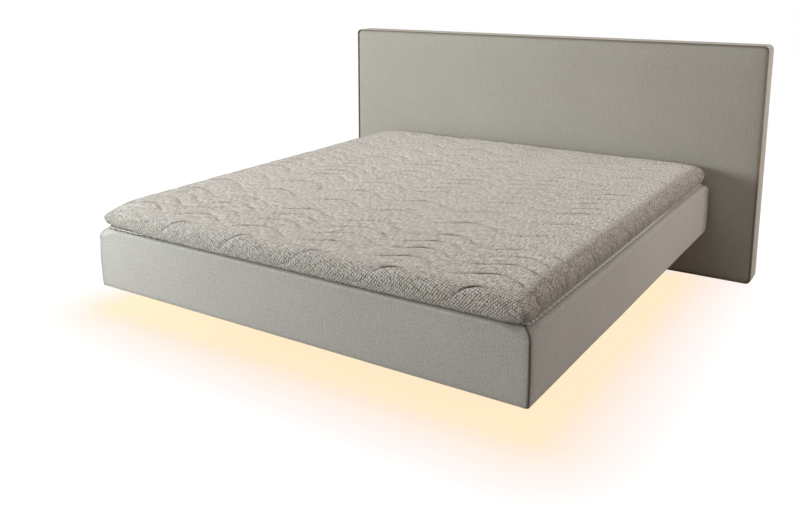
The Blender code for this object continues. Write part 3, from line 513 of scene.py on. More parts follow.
box_size = np.array([BOX_RECT[1] - BOX_RECT[0], BOX_RECT[3] - BOX_RECT[2]])
centre = np.array([BOX_RECT[0] + BOX_RECT[1], BOX_RECT[2] + BOX_RECT[3]]) / 2
corner_places = []
count = 0
for side_length in box_size[::-1].tolist() * 2:
    corner_places.append(count + CORNER_TURNS.index(45))
    count += len(CORNER_TURNS) + round(side_length / COVER_PACE) - 1

cover_rings, cover_shade = [], []
for inset, height in cover_profile:
    outline = ring(BOX_RECT, inset, COVER_RADIUS, COVER_PACE)
    flat = np.column_stack([outline, np.full(len(outline), height)])
    shown = float(inset < SIDE_REACH)
    gaps = np.linalg.norm(outline[:, None] - outline[corner_places][None], axis=2)
    from_seam, corner = gaps.min(1), outline[corner_places][gaps.argmin(1)]
    inward = np.sign(centre - outline) / math.sqrt(2)
    soft = np.exp(-(from_seam / CORNER_SOFT_WIDTH) ** 2) * shown
    on_side = np.abs(outline[:, 0] - centre[0]) > box_size[0] / 2 - inset - SIDE_TOLERANCE
    side_soft = np.maximum(soft, SIDE_SOFT * on_side * shown)
    up = ramp(height, BOX_BOTTOM, wall_top - BOX_BOTTOM) ** 2
    over = min(max(height - wall_top, 0) / TOP_ROUND_DOWN, 1)
    softer = CORNER_SOFT_ACROSS * (1 - math.sqrt(1 - over * over))
    flat[:, :2] += inward * (np.exp(-(from_seam / SEAM_DIP_WIDTH) ** 2) * SEAM_DIP)[:, None]
    flat[:, :2] += np.sign(inward) * softer * np.stack([side_soft, soft], 1)
    flat[:, 2] -= CORNER_SOFT_DOWN * up * (1 - over) * side_soft
    cover_rings.append(flat)
    # Painted shade: the cover darkens towards each upright seam, further along the side panels than along the
    # foot end
    along_side = np.abs(outline - corner)
    width = np.where(along_side[:, 1] > along_side[:, 0], SEAM_SHADE_SIDE, SEAM_SHADE_FOOT)
    cover_shade.append(np.exp(-from_seam / width) * shown)
ring_count = len(cover_rings[0])
cover_points = np.concatenate(cover_rings)
print("box cover", len(cover_points), "points,", round(cover_high.x - cover_low.x, 3), "m wide")

# %% [markdown]
# ## Tension in the cover
# Stapled cloth is never quite even: it swells and sinks by a millimetre over half a metre, and
# its tight upper edge has small dips. Sculpting would do it once, by hand. A smooth noise at
# two sizes does it again for any size of bed. Then the rings become a mesh with its thickness.

# %% Box cover
UPHOLSTERY_THICK = 0.0025
BROAD_SIZE, BROAD_SWELL = 0.42, 0.0011
DIP_SIZE, DIP_SWELL, DIP_RISE = 0.075, 0.0009, 0.8
DRAWN_IN, DRAWN_DOWN = 0.0008, 0.0003

sides = np.concatenate([np.full(ring_count, float(inset < SIDE_REACH)) for inset, _ in cover_profile])
span = (cover_points[:, :2] - centre) / (box_size / 2)
outward = np.where(np.abs(span).argmax(1)[:, None] == [0, 1], np.sign(span), 0)
broad = ripple(cover_points, BROAD_SIZE, seed=1) * BROAD_SWELL
edge = ramp(cover_points[:, 2], wall_top, TOP_ROUND_DOWN)
small = ripple(cover_points, DIP_SIZE, seed=2) * DIP_SWELL * np.sin(np.pi * edge)
cover_points[:, :2] += outward * ((broad - DRAWN_IN + small) * sides)[:, None]
cover_points[:, 2] += small * sides * DIP_RISE - DRAWN_DOWN * sides * edge

cover_faces = stack_faces(len(cover_profile), ring_count)
cover_faces.append(tuple(range((len(cover_profile) - 1) * ring_count, len(cover_profile) * ring_count)))
box_skin = add_piece(
    "box_sewn_cover", cover_points, cover_faces, box_cloth, "bed", ["box_cover"],
    UPHOLSTERY_THICK,
)
# The cover's painted shade beside its corner seams
mark(box_skin, "seam_near", cover_shade)
print("box cover", len(cover_faces), "faces")

# %% [markdown]
# ## Corner seams of the box
# Where two side panels meet, a twisted thread shows at the bottom of the groove and curves over
# the round upper edge to the topper's corner. Drawn in the material it would vanish from the
# side, so it is a thin tube that follows the middle point of each ring's corner.

# %% Corner seams
THREAD_RADIUS, THREAD_PROUD = 0.0011, 0.2
TUBE_SIDES = 6
NEAR_UPRIGHT = 0.9


def tube(path, radius):
    """Points and quads of a tube along a path, with its ends closed."""
    path = np.asarray(path, float)
    ahead = np.gradient(path, axis=0)
    ahead /= np.linalg.norm(ahead, axis=1)[:, None]
    helper = np.where(np.abs(ahead[:, 2:3]) > NEAR_UPRIGHT, [[1.0, 0.0, 0.0]], [[0.0, 0.0, 1.0]])
    side = np.cross(ahead, helper)
    side /= np.linalg.norm(side, axis=1)[:, None]
    up = np.cross(side, ahead)
    turns = (np.arange(TUBE_SIDES) * math.tau / TUBE_SIDES)[None, :, None]
    radii = np.broadcast_to(radius, len(path))[:, None, None]
    rings = path[:, None] + radii * (np.cos(turns) * side[:, None] + np.sin(turns) * up[:, None])
    faces = stack_faces(len(path), TUBE_SIDES)
    last = (len(path) - 1) * TUBE_SIDES
    faces += [tuple(range(TUBE_SIDES))[::-1], tuple(range(last, last + TUBE_SIDES))]
    return rings.reshape(-1, 3), faces


shown_rows = [row for row, (inset, _) in enumerate(cover_profile) if inset < SIDE_REACH][1:]
for start, place in zip(corner_places, ("foot_right", "head_right", "head_left", "foot_left")):
    path = cover_points.reshape(len(cover_profile), ring_count, 3)[shown_rows, start]
    outward = np.array([*np.sign(path[0, :2] - centre), 0]) / math.sqrt(2)
    points, faces = tube(path + outward * THREAD_RADIUS * THREAD_PROUD, THREAD_RADIUS)
    add_piece("box_corner_seam_" + place, points, faces, seam_thread, "bed")
print("corner seams follow", len(shown_rows), "rings")

# %% [markdown]
# ## The topper's quilted panel
# A quilted panel is one piece of knit and wadding that wraps over the pad and is sewn to the
# base along its lower edge. The panel's own flat coordinates, u across and v along the bed,
# are laid over the pad by arc length, so its threads and stitch lines run on over the edges
# without a break, and the corners close in a sewn dart. Rows of the mesh lie exactly on the
# stitch lines: waves of 306 mm, in the groups of one and two steps that the picture shows.

# %% Panel that wraps over a pad
def wrap(u, v, rect, profile, radius, foot_heights=None, foot_radius=None):
    """Lay panel coordinates over a pad; profile gives insets and heights outward and down its side."""
    insets, heights = np.array(profile).T
    reach = insets[0]
    arc = np.concatenate([[0], np.cumsum(np.hypot(np.diff(insets), np.diff(heights)))])
    mid_u, mid_v = (rect[0] + rect[1]) / 2, (rect[2] + rect[3]) / 2
    half_u, half_v = (rect[1] - rect[0]) / 2 - reach, (rect[3] - rect[2]) / 2 - reach
    over_u = np.maximum(np.abs(u - mid_u) - half_u, 0)
    over_v = np.maximum(np.abs(v - mid_v) - half_v, 0)
    far, near = np.maximum(over_u, over_v), np.minimum(over_u, over_v)
    off = reach - np.interp(far, arc, insets)
    height = np.interp(far, arc, heights)
    if foot_heights is not None:
        share = np.where(v < mid_v, over_v / np.maximum(over_u + over_v, TINY), 0)
        share = share * share * (3 - 2 * share)
        height = height * (1 - share) + np.interp(far, arc, foot_heights) * share
    bend = np.minimum(np.where(v < mid_v, foot_radius or radius, radius), off)
    run = near / np.maximum(far, TINY) * (off - bend + bend * math.pi / 4)
    straight = np.minimum(run, off - bend)
    angle = (run - straight) / np.maximum(bend, TINY)
    major = off - bend + bend * np.cos(angle)
    minor = straight + bend * np.sin(angle)
    wide = over_u >= over_v
    x = mid_u + np.sign(u - mid_u) * (np.minimum(np.abs(u - mid_u), half_u) + np.where(wide, major, minor))
    y = mid_v + np.sign(v - mid_v) * (np.minimum(np.abs(v - mid_v), half_v) + np.where(wide, minor, major))
    return np.stack([x, y, height], -1), far, arc[-1]


plate_edge = ((0.1, 0.0), (0.0, -0.1))
print("past a plate's edge:", wrap(np.ones(1), np.zeros(1), (-1, 1, -1, 1), plate_edge, 0.02)[0].round(3))

# %% [markdown]
# ## The pad's edge
# The topper falls over its foot end in one round bulge that tucks under, and over its sides in
# a shorter one that is drawn in at the seam. Each is a list of insets and drops, read from the
# picture, and the panel turns from one to the other at the corners.

# %% Topper's profile
border_low, border_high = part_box("topper_border")
FOOT_BULGE, RIGHT_BULGE = 0.019, 0.010
TOPPER_RECT = (border_low.x, border_high.x + RIGHT_BULGE, border_low.y - FOOT_BULGE, border_high.y)
TOPPER_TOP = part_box("topper_quilted_top")[1].z
TOPPER_SEAM = border_low.z
TOPPER_RADIUS, TOPPER_FOOT_RADIUS = 0.055, 0.022
SIDE_INSETS = (0.090, 0.066, 0.046, 0.030, 0.017, 0.0075, 0.002, 0.0, 0.0014, 0.0050, 0.0108, 0.020)
SIDE_DROPS = (0, 0.0004, 0.0012, 0.0030, 0.0066, 0.0125, 0.0205, 0.0290, 0.0410, 0.0540, 0.0655, 0.0731)
FOOT_DROPS = (0, 0.0004, 0.0022, 0.0065, 0.0145, 0.0260, 0.0400, 0.0550, 0.0700, 0.0840, 0.0905, 0.0800)
EDGE_REACH = SIDE_INSETS[0]
topper_profile = [(inset, TOPPER_TOP - drop) for inset, drop in zip(SIDE_INSETS, SIDE_DROPS)]
foot_heights = [TOPPER_TOP - drop for drop in FOOT_DROPS]


def over_topper(u, v):
    """Panel coordinates laid over the topper's pad."""
    return wrap(u, v, TOPPER_RECT, topper_profile, TOPPER_RADIUS, foot_heights, TOPPER_FOOT_RADIUS)


print("topper side falls", round(SIDE_DROPS[-1] / MM), "mm over", len(SIDE_INSETS), "points")

# %% [markdown]
# ## Rows on the stitch lines
# The stitch lines were read from the picture laid flat: waves 306 mm long and 32 mm high, 85 or
# 170 mm apart, and a little more at the foot. Rows crowd near each line, where the cloth turns
# down into the valley, and open up between them, so that the quads go where the form needs them.

# %% Stitch lines
WAVE_LENGTH = 0.306
WAVE_HEIGHT = 0.032
WAVE_START = 0.155
STITCH_STEP = 0.085
HEAD_LINE = 0.0534
QUILT_GROUPS = ((1, 1), (2, 3), (1, 6), (2, 3), (1, 2), (1.2, 1), (1.25, 1))
FLAT_WIDTH, COLUMN_PACE = 1.62, 0.012
SIDE_STEPS = 19

flat_columns = round(FLAT_WIDTH / COLUMN_PACE) + 1
flat_u = np.linspace(TOPPER_RECT[0] + EDGE_REACH, TOPPER_RECT[1] - EDGE_REACH, flat_columns)
arc_total = over_topper(np.zeros(1), np.zeros(1))[2]
steps = np.linspace(0, arc_total, SIDE_STEPS + 1)[1:]
panel_u = np.concatenate([flat_u[0] - steps[::-1], flat_u, flat_u[-1] + steps])
wave = WAVE_HEIGHT * np.cos(math.tau * (panel_u - WAVE_START) / WAVE_LENGTH)

middles = [TOPPER_RECT[3] - HEAD_LINE]
for step_count, repeats in QUILT_GROUPS:
    for _ in range(repeats):
        middles.append(middles[-1] - step_count * STITCH_STEP)
seam_foot = TOPPER_RECT[2] + EDGE_REACH - arc_total
seam_head = TOPPER_RECT[3] - EDGE_REACH + arc_total
lines = [np.full_like(panel_u, seam_foot)]
lines += [middle + wave for middle in middles[::-1]]
lines.append(np.full_like(panel_u, seam_head))
print(len(middles), "stitch lines from", round(min(middles), 3), "to", round(max(middles), 3))

# %% Rows of the panel
NEAR_ROWS = (0.0022, 0.0055, 0.0110, 0.0190, 0.0295, 0.0410)
ROW_ROOM, ROW_PACE = 0.004, 0.014
FAR_AWAY = 1.0

no_line = np.full_like(panel_u, FAR_AWAY)
panel_v, stitch_gap, past_stitch, sewn_rows = [], [], [], []
for index, (low_line, high_line) in enumerate(zip(lines, lines[1:])):
    width = float((high_line - low_line).mean())
    places = [d for d in NEAR_ROWS if d < width / 2 - ROW_ROOM]
    inner = width - 2 * places[-1]
    spare = max(round(inner / ROW_PACE), 1)
    between = places[-1] + inner * np.arange(1, spare) / spare
    marks = [0.0, *places, *between, *(width - d for d in places[::-1])]
    for row_mark in marks:
        share = row_mark / width
        panel_v.append(low_line * (1 - share) + high_line * share)
        from_low = (panel_v[-1] - low_line) if index else no_line
        from_high = (high_line - panel_v[-1]) if index < len(lines) - 2 else no_line
        stitch_gap.append(np.minimum(from_low, from_high))
        past_stitch.append(from_low)
    if index:
        sewn_rows.append(len(panel_v) - len(marks))
panel_v = np.array([*panel_v, lines[-1]])
stitch_gap = np.array([*stitch_gap, no_line])
past_stitch = np.array([*past_stitch, no_line])
panel_grid = np.broadcast_to(panel_u, panel_v.shape)
print("panel grid", panel_v.shape, "with", len(sewn_rows), "sewn rows")

# %% [markdown]
# ## The quilted form
# The wrapped panel gets what makes it this topper: its lower edge rises a little at the foot
# end's left, hangs lower and further out along the right side, and its corners droop, because
# the pad is thinner there. Each stitch line pulls the cloth three and a half millimetres down
# into the wadding. The cloth rises steeply beside it and lies nearly flat between the lines.

# %% Topper's hems and corners
HEM_LIFT, HEM_LIFT_END, HEM_LIFT_FADE = 0.009, -0.62, 0.12
RIGHT_HEM_DROP, RIGHT_HEM_OUT = 0.0120, 0.015
FOOT_HEM, RIGHT_HEM = (0.075, 0.03), (0.065, 0.04)
CORNER_DROP, HEAD_CORNER_DROP = 0.026, 0.006
CORNER_REACH = 0.095


def droop(points):
    """How far each point sinks towards the topper's corners, where the pad is thinner."""
    drop = np.zeros(points.shape[:-1])
    for x in TOPPER_RECT[:2]:
        for y in TOPPER_RECT[2:]:
            away = np.hypot(points[..., 0] - x, points[..., 1] - y)
            deep = CORNER_DROP if y == TOPPER_RECT[2] else HEAD_CORNER_DROP
            drop = np.maximum(drop, deep * np.exp(-(away / CORNER_REACH) ** 2))
    share = ramp(points[..., 2], TOPPER_SEAM, TOPPER_TOP - TOPPER_SEAM)
    return (drop * share)[..., None] * [0, 0, -1]


laid_points, far, _ = over_topper(panel_grid, panel_v)
past_left = np.maximum(TOPPER_RECT[0] + EDGE_REACH - panel_grid, 0)
past_right = np.maximum(panel_grid - TOPPER_RECT[1] + EDGE_REACH, 0)
past_foot = np.maximum(TOPPER_RECT[2] + EDGE_REACH - panel_v, 0)
past_head = np.maximum(panel_v - TOPPER_RECT[3] + EDGE_REACH, 0)
foot_hem = ramp(far, *FOOT_HEM) * share_of(past_foot, past_left)
right_hem = ramp(far, *RIGHT_HEM) * share_of(past_right, past_foot, past_head)
hem_lift = HEM_LIFT * foot_hem * ramp(-laid_points[..., 0], -HEM_LIFT_END, HEM_LIFT_FADE)
hem_lift -= RIGHT_HEM_DROP * right_hem
hems = np.stack([RIGHT_HEM_OUT * right_hem, np.zeros_like(far), hem_lift], -1)
panel_points = laid_points + hems + droop(laid_points)
print("lower edge between", panel_points[..., 2].min().round(3), "and", TOPPER_TOP, "m")

# %% Valleys of the quilting
VALLEY_DEPTH, VALLEY_WIDTH, VALLEY_CURVE = 0.0034, 0.018, 2.4
EDGE_SHALLOWER, EDGE_FALL = 0.55, 0.11
SEAM_ROOM, EVEN_ROOM = 0.02, 0.03
CROWN, CROWN_REACH = 0.0008, 0.07
UNEVEN = ((0.34, 3, 0.0016), (0.055, 4, 0.0007))
SUNK = 0.0008

to_seam = arc_total - far
rise = 1 - (1 - np.clip(stitch_gap / VALLEY_WIDTH, 0, 1)) ** VALLEY_CURVE
depth = VALLEY_DEPTH * (1 - EDGE_SHALLOWER * ramp(far, 0, EDGE_FALL)) * ramp(to_seam, 0, SEAM_ROOM)
crown = CROWN * ramp(stitch_gap, 0, CROWN_REACH)
uneven = sum(ripple(panel_points, size, seed) * swell for size, seed, swell in UNEVEN)
uneven *= ramp(to_seam, 0, EVEN_ROOM)
lift = crown - depth * (1 - rise) + uneven - SUNK
start_points = panel_points + grid_normals(panel_points) * lift[..., None]
rows, columns = panel_v.shape
topper_skin = add_piece(
    "topper_quilted_cover", start_points.reshape(-1, 3), grid_faces(rows, columns), topper_knit,
    "topper", ["topper_quilted_top", "topper_border"],
)
flat_places = np.stack([panel_grid.ravel(), panel_v.ravel()], 1)[read(topper_skin.data.loops, "vertex_index")]
topper_skin.data.uv_layers[CLOTH_UV].data.foreach_set("uv", flat_places.ravel())
print("quilted cover", rows * columns, "points")

# %% [markdown]
# ## Where the quilting gathers shade
# From the foot end, shade shows on the far wall of each valley, strongest before a crest of the
# wave and towards the foot end's right, weaker after the crest, and broken along the line. The
# drawn-in sides are in shade with short upright gathers, and the foot end darkens towards the
# right. Light alone would give this only with far more points, so each point carries its share
# of painted shade, and the knit's finish reads it.

# %% Shade of the quilting
CREASE_SHIFT, SEAM_SHADE_WIDTH = 0.0020, 0.0070
CREST_LEAN = math.pi / 4
CREASE_REST, CREASE_CREST, CREASE_FALL = 0.12, (0.98, 0.80), (0.32, 0.42)
CREASE_BREAKS, CREASE_RANGE = (0.72, 0.7, 0.08), (0.08, 1.15)
FRONT_CREASE, FRONT_ACROSS, FRONT_ALONG = 0.45, 0.6, (0.35, 0.4)
EDGE_SHADE, EDGE_KNIT = (0.035, 0.03), (0.03, 0.03)
SIDE_SHADE, SIDE_STROKES, STROKE_SIZE, STROKE_SQUEEZE = 0.42, 0.38, 0.014, (1, 1, 0.15)
FOOT_SHADE, FOOT_SHADE_GAIN, HALF_WIDTH = 0.10, 0.8, 0.9

phase = math.tau * (panel_grid - WAVE_START) / WAVE_LENGTH
from_crest = np.angle(np.exp(1j * (phase + CREST_LEAN)))
from_fall = np.angle(np.exp(1j * (phase - math.pi / 2)))
crease_weight = np.full_like(far, CREASE_REST)
for away, (strength, reach) in ((from_crest, CREASE_CREST), (from_fall, CREASE_FALL)):
    crease_weight += strength * np.exp(-(away / reach) ** 2)
crease_weight *= 1 + FRONT_CREASE * ramp(panel_grid, 0, FRONT_ACROSS) * ramp(-panel_v, *FRONT_ALONG)
level, swing, size = CREASE_BREAKS
crease_weight *= np.clip(level + swing * ripple(panel_points, size, seed=8), *CREASE_RANGE)
# Painted shade on the far wall of each valley, weighted along the wave
creases = np.exp(-((past_stitch - CREASE_SHIFT) / SEAM_SHADE_WIDTH) ** 2) * crease_weight
# Painted shade along the drawn-in sides, broken by upright strokes, and along the foot end, darker towards
# the right
strokes = np.clip(ripple(panel_points * STROKE_SQUEEZE, STROKE_SIZE, seed=12), 0, 1)
foot_share = share_of(past_foot, past_left, past_right)
side_shade = ramp(far, *EDGE_SHADE) * (SIDE_SHADE + SIDE_STROKES * strokes)
foot_shade = FOOT_SHADE * (1 + FOOT_SHADE_GAIN * ramp(panel_grid, 0, HALF_WIDTH)) * ramp(far, *EDGE_SHADE)
painted_edge_shade = side_shade * (1 - foot_share) + foot_shade * foot_share
mark(topper_skin, "seam_near", np.maximum(creases, painted_edge_shade))
mark(topper_skin, "edge_share", ramp(far, *EDGE_KNIT))
print("strongest pull", round(float(crease_weight.max()), 2))

# %% [markdown]
# ## Cloth simulation
# Wadding pushes a quilted cover up between its seams, in soft puckers that no formula has.
# Blender's cloth simulation makes them: the sewn rows and the border are held, the threads get
# one percent of spare length, and a pressure blows the rest up. A few frames are enough, and a
# cap on the movement keeps the pad inside its real size. The result is written into the mesh,
# so no simulation is left on the piece.

# %% Cloth simulation
PRESSURE = 1.0
SPARE_CLOTH = 0.010
LAST_FRAME = 12
MOVE_CAP = 0.0010
HEM_CALM = 0.06
KNIT_THICK = 0.003
CLOTH_SETTINGS = {
    "vertex_group_mass": "sewn", "quality": 4, "mass": 0.25, "tension_stiffness": 12,
    "compression_stiffness": 6, "shear_stiffness": 4, "bending_stiffness": 0.4,
    "shrink_min": -SPARE_CLOTH, "use_pressure": True, "uniform_pressure_force": PRESSURE,
}


def inflate(piece, sewn, calm):
    """Run the cloth simulation with the sewn points held; calm scales how far each point may move."""
    scene = bpy.context.scene
    piece.vertex_groups.new(name="sewn").add([int(i) for i in sewn], 1.0, "REPLACE")
    cloth = piece.modifiers.new("quilting", "CLOTH")
    for key, value in CLOTH_SETTINGS.items():
        setattr(cloth.settings, key, value)
    cloth.settings.effector_weights.gravity = 0
    cloth.collision_settings.use_collision = False
    cloth.point_cache.frame_start = 1
    cloth.point_cache.frame_end = LAST_FRAME
    for number in range(1, LAST_FRAME + 1):
        scene.frame_set(number)
    seen = piece.evaluated_get(bpy.context.evaluated_depsgraph_get())
    before = read(piece.data.vertices, "co", 3)
    moved = read(seen.data.vertices, "co", 3) - before
    length = np.linalg.norm(moved, axis=1)
    moved *= (np.minimum(1, MOVE_CAP / np.maximum(length, TINY)) * calm)[:, None]
    piece.modifiers.remove(cloth)
    piece.data.vertices.foreach_set("co", (before + moved).ravel())
    piece.data.update()
    scene.frame_set(1)
    return length


started = time.time()
grid = np.arange(rows * columns).reshape(rows, columns)
held = np.concatenate([grid[sewn_rows].ravel(), grid[[0, -1]].ravel(), grid[:, [0, -1]].ravel()])
travel = inflate(topper_skin, np.unique(held), ramp(to_seam, 0, HEM_CALM).ravel())
print("cloth moved", round(travel.mean() / MM, 2), "mm, at most", round(travel.max() / MM, 1))
print("simulation took", round(time.time() - started, 1), "s")

final_points = read(topper_skin.data.vertices, "co", 3)
thicken(topper_skin, "knit and wadding", KNIT_THICK)
print("top of the quilting", round(final_points[:, 2].max(), 4), "m, CAD top", round(TOPPER_TOP, 4))

# %% [markdown]
# ## Darts at the topper's corners
# At each corner the panel's spare cloth is cut out and the two edges are sewn together in a
# dart, a slanting welt from the shoulder down to the lower seam. On the right it shows a pale
# edge, a painted highlight in white tape, and a dark fold beside it, a painted shadow in dark
# thread. It could be painted on, but from the side it stands proud. It follows the mitre of
# the wrapped panel, so the same function that placed the panel gives its path. On the left,
# which faces the light, both strands are knit.

# %% Corner darts
DART_HEIGHT = 0.068
DART_SLANT = 0.060
DART_END = 0.003
DART_POINTS = 14
# On the right the edge strand is a painted highlight in white tape, the fold strand a painted shadow in dark
# thread
DART_STRANDS = (("topper_dart_edge_", 0.0, zip_polyester), ("topper_dart_fold_", 0.0038, seam_thread))
DART_RADIUS, DART_TAPER = 0.0016, (0.3, 4)

laid_flat = laid_points.reshape(-1, 3)
swelling = final_points - laid_flat
run = np.linspace(arc_total - DART_HEIGHT, arc_total - DART_END, DART_POINTS)
taper = DART_RADIUS * np.clip(np.linspace(*DART_TAPER, DART_POINTS), 0, 1)
for side_u, name_u in ((-1, "left"), (1, "right")):
    for side_v, name_v in ((-1, "foot"), (1, "head")):
        edge_u = TOPPER_RECT[side_u > 0] - side_u * EDGE_REACH
        edge_v = TOPPER_RECT[2 + (side_v > 0)] - side_v * EDGE_REACH
        for label, beside, finish in DART_STRANDS:
            slant = np.linspace(DART_SLANT, 0, DART_POINTS) + beside
            path, _, _ = over_topper(edge_u + side_u * (run - slant), edge_v + side_v * run)
            nearest = np.linalg.norm(laid_flat[None] - path[:, None], axis=2).argmin(1)
            points, faces = tube(path + swelling[nearest], taper)
            finish = finish if side_u > 0 else topper_knit
            add_piece(label + name_v + "_" + name_u, points, faces, finish, "topper")
print("4 darts of", round(DART_HEIGHT / MM), "mm")

# %% [markdown]
# ## The topper's base cloth and zip
# The underside is plain white cotton whose edge turns up and meets a white zip, so that the
# topper's cover can be taken off for washing. Both lie in the shade of the bulging side, and a
# thin wavy white line of them shows along the bed: scalloped from stitch to stitch, and a welt
# that stands out along the front of the right side. They are rings like the box's cover.

# %% Rings round the topper
EDGE_WAVE, EDGE_STITCH = 0.0030, 0.033
FOOT_TUCK = 0.016
WELT_OUT, WELT_RAISE, WELT_LEFT_OVER = 0.0110, 0.0010, 0.25
WELT_END, WELT_FADE = 0.35, 0.4
EDGE_PACE = 0.008
SCALLOP_RISE = 0.7
LAYING_RING, WELT_RING = 0.025, 0.017
RIGHT_START = (0.80, 0.05)
TUCK_START = (HEM_LIFT_END - 0.1, 0.1)
EDGE_RIPPLE, CORNER_ZONE = 0.045, 0.06

topper_middle = np.array([TOPPER_RECT[0] + TOPPER_RECT[1], TOPPER_RECT[2] + TOPPER_RECT[3]]) / 2
topper_half = np.array([TOPPER_RECT[1] - TOPPER_RECT[0], TOPPER_RECT[3] - TOPPER_RECT[2]]) / 2


def ring_stack(profile, bottom, wobble, seed, scallop=0.0):
    """Rings round the topper, with a small waviness, and scallops in plan from stitch to stitch."""
    stack = []
    for inset, height in profile:
        outline = ring(TOPPER_RECT, inset, TOPPER_RADIUS, EDGE_PACE, TOPPER_FOOT_RADIUS)
        points = np.column_stack([outline, np.full(len(outline), bottom + height)])
        stack.append(points)
        if inset >= LAYING_RING:
            continue
        points[:, 2] += ripple(points, EDGE_RIPPLE, seed) * wobble
        from_middle = outline - topper_middle
        outward = np.sign(from_middle) * (np.abs(from_middle) > topper_half - CORNER_ZONE)
        beat = np.cos(math.tau * outline.sum(1) / EDGE_STITCH)
        points[:, :2] += outward * (scallop * beat)[:, None]
        if scallop:
            right = ramp(outline[:, 0], *RIGHT_START)
            at_foot = outward[:, 1] < 0
            rise = np.maximum(right, at_foot) * beat * scallop * SCALLOP_RISE
            points[:, 2] += rise + right * WELT_RAISE
            near = ramp(-outline[:, 1], -WELT_END, WELT_FADE)
            shown = WELT_LEFT_OVER + (1 - WELT_LEFT_OVER) * near
            points[:, 0] += right * shown * WELT_OUT * float(inset < WELT_RING)
            points[:, 1] += ramp(outline[:, 0], *TUCK_START) * at_foot * FOOT_TUCK
    return np.concatenate(stack), len(stack[0])


print("a scallop every", round(EDGE_STITCH / MM), "mm")

# %% Base cloth
base_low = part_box("topper_base_cloth")[0]
BASE_PROFILE = (
    (0.850, 0.0006), (0.400, 0.0006), (0.100, 0.0006), (0.035, 0.0006), (0.0270, 0.0008),
    (0.0235, 0.0020), (0.0210, 0.0032), (0.0150, 0.0040), (0.0092, 0.0048), (0.0072, 0.0068),
    (0.0092, 0.0088), (0.0210, 0.0100),
)
TURN_UP, COTTON_THICK, BASE_WOBBLE = 0.011, 0.001, 0.0003

points, count = ring_stack(BASE_PROFILE, base_low.z, BASE_WOBBLE, seed=5, scallop=EDGE_WAVE)
faces = stack_faces(len(BASE_PROFILE), count)
faces.append(tuple(range(count))[::-1])
base_sheet = add_piece(
    "topper_base_sheet", points, faces, white_cotton, "topper", ["topper_base_cloth"],
    COTTON_THICK,
)

# %% [markdown]
# ## Dark dashes on the edge
# Between the scallops dark dashes cross the white edge: painted shadow between the scallops, made
# of dark thread. A stripe in the material would slide off the wavy edge, so each dash is a short
# spindle of mesh, slanting down from one side of the edge to the other. Thick ones sit at the
# foot end's left, thin ones on the right side.

# %% Dark dashes on the edge, painted shadow
DASH_LENGTH = 0.019
DASH_HIGH, DASH_LOW = 0.0105, 0.0065
FOOT_DASH_RADIUS, SIDE_DASH_RADIUS = 0.0017, 0.0010
DASH_SPINDLE = np.array([0.4, 0.9, 1.0, 0.9, 0.4])
FOOT_DASH_IN, SIDE_DASH_OUT = 0.0030, 0.0062
FOOT_DASH_START, FOOT_DASH_PAST, SIDE_DASH_START = 0.035, 0.02, 0.05

dash_foot = TOPPER_RECT[2] + FOOT_DASH_IN
dash_side = TOPPER_RECT[1] + SIDE_DASH_OUT
dashes = [
    ((x, dash_foot), (x + DASH_LENGTH, dash_foot), FOOT_DASH_RADIUS)
    for x in np.arange(TOPPER_RECT[0] + FOOT_DASH_START, HEM_LIFT_END + FOOT_DASH_PAST, EDGE_STITCH)
]
dashes += [
    ((dash_side, y), (dash_side, y + DASH_LENGTH), SIDE_DASH_RADIUS)
    for y in np.arange(TOPPER_RECT[2] + SIDE_DASH_START, WELT_END - WELT_FADE, EDGE_STITCH)
]
dash_points, dash_faces = [], []
for start, end, thick in dashes:
    path = np.linspace((*start, base_low.z + DASH_HIGH), (*end, base_low.z + DASH_LOW), len(DASH_SPINDLE))
    points, faces = tube(path, thick * DASH_SPINDLE)
    dash_faces += [tuple(i + len(dash_points) * len(points) for i in face) for face in faces]
    dash_points.append(points)
add_piece(
    "topper_edge_shadow_dashes", np.concatenate(dash_points), dash_faces, seam_thread, "topper",
)
print(len(dashes), "edge stitches")

# %% Zip tape
tape_low, tape_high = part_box("topper_zip_tape")
TAPE_PROFILE = (
    (0.0235, 0.0003), (0.0216, 0.0012), (0.0214, 0.0034), (0.0206, 0.0040), (0.0202, 0.0050),
    (0.0206, 0.0060), (0.0214, 0.0066), (0.0216, 0.0092), (0.0235, 0.0098),
)
TAPE_FLAT_WIDTH, TAPE_THICK, TAPE_WOBBLE = 0.0131, 0.0008, 0.0002

points, count = ring_stack(TAPE_PROFILE, tape_low.z, TAPE_WOBBLE, seed=6)
zip_band = add_piece(
    "topper_zip_band", points, stack_faces(len(TAPE_PROFILE), count), zip_polyester, "topper",
    ["topper_zip_tape"], TAPE_THICK,
)

# %% [markdown]
# ## The headboard's cloth
# The headboard is a flat foam pad with a narrow border. Its front panel and its border are sewn
# together over a dark piping cord that runs round the whole front edge. The front is the same
# wrapped panel as the topper's, with a shallow profile: nearly flat, and rounding back to the
# cord. The cord is a tube of rings, and the border a band with a slight belly.

# %% Headboard front
board_low, board_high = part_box("headboard_border")
HEAD_RECT = (board_low.x, board_high.x, board_low.z, board_high.z)
HEAD_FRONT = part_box("headboard_piping")[0].y
HEAD_RADIUS = 0.022
FACE_PROFILE = (
    (0.110, 0.0), (0.080, -0.0002), (0.055, -0.0006), (0.038, -0.0013), (0.025, -0.0022), (0.0160, -0.0035),
    (0.0095, -0.0046), (0.0062, -0.0060), (0.0048, -0.0076),
)
FACE_REACH = FACE_PROFILE[0][0]
HEAD_PACE = 0.024
FACE_EDGE_STEPS, FACE_EDGE_CURVE = 10, 1.8
TENSION_SIZE, TENSION, FACE_BACK = 0.5, 0.0013, 0.0016

face_arc = wrap(np.zeros(1), np.zeros(1), HEAD_RECT, FACE_PROFILE, HEAD_RADIUS)[2]


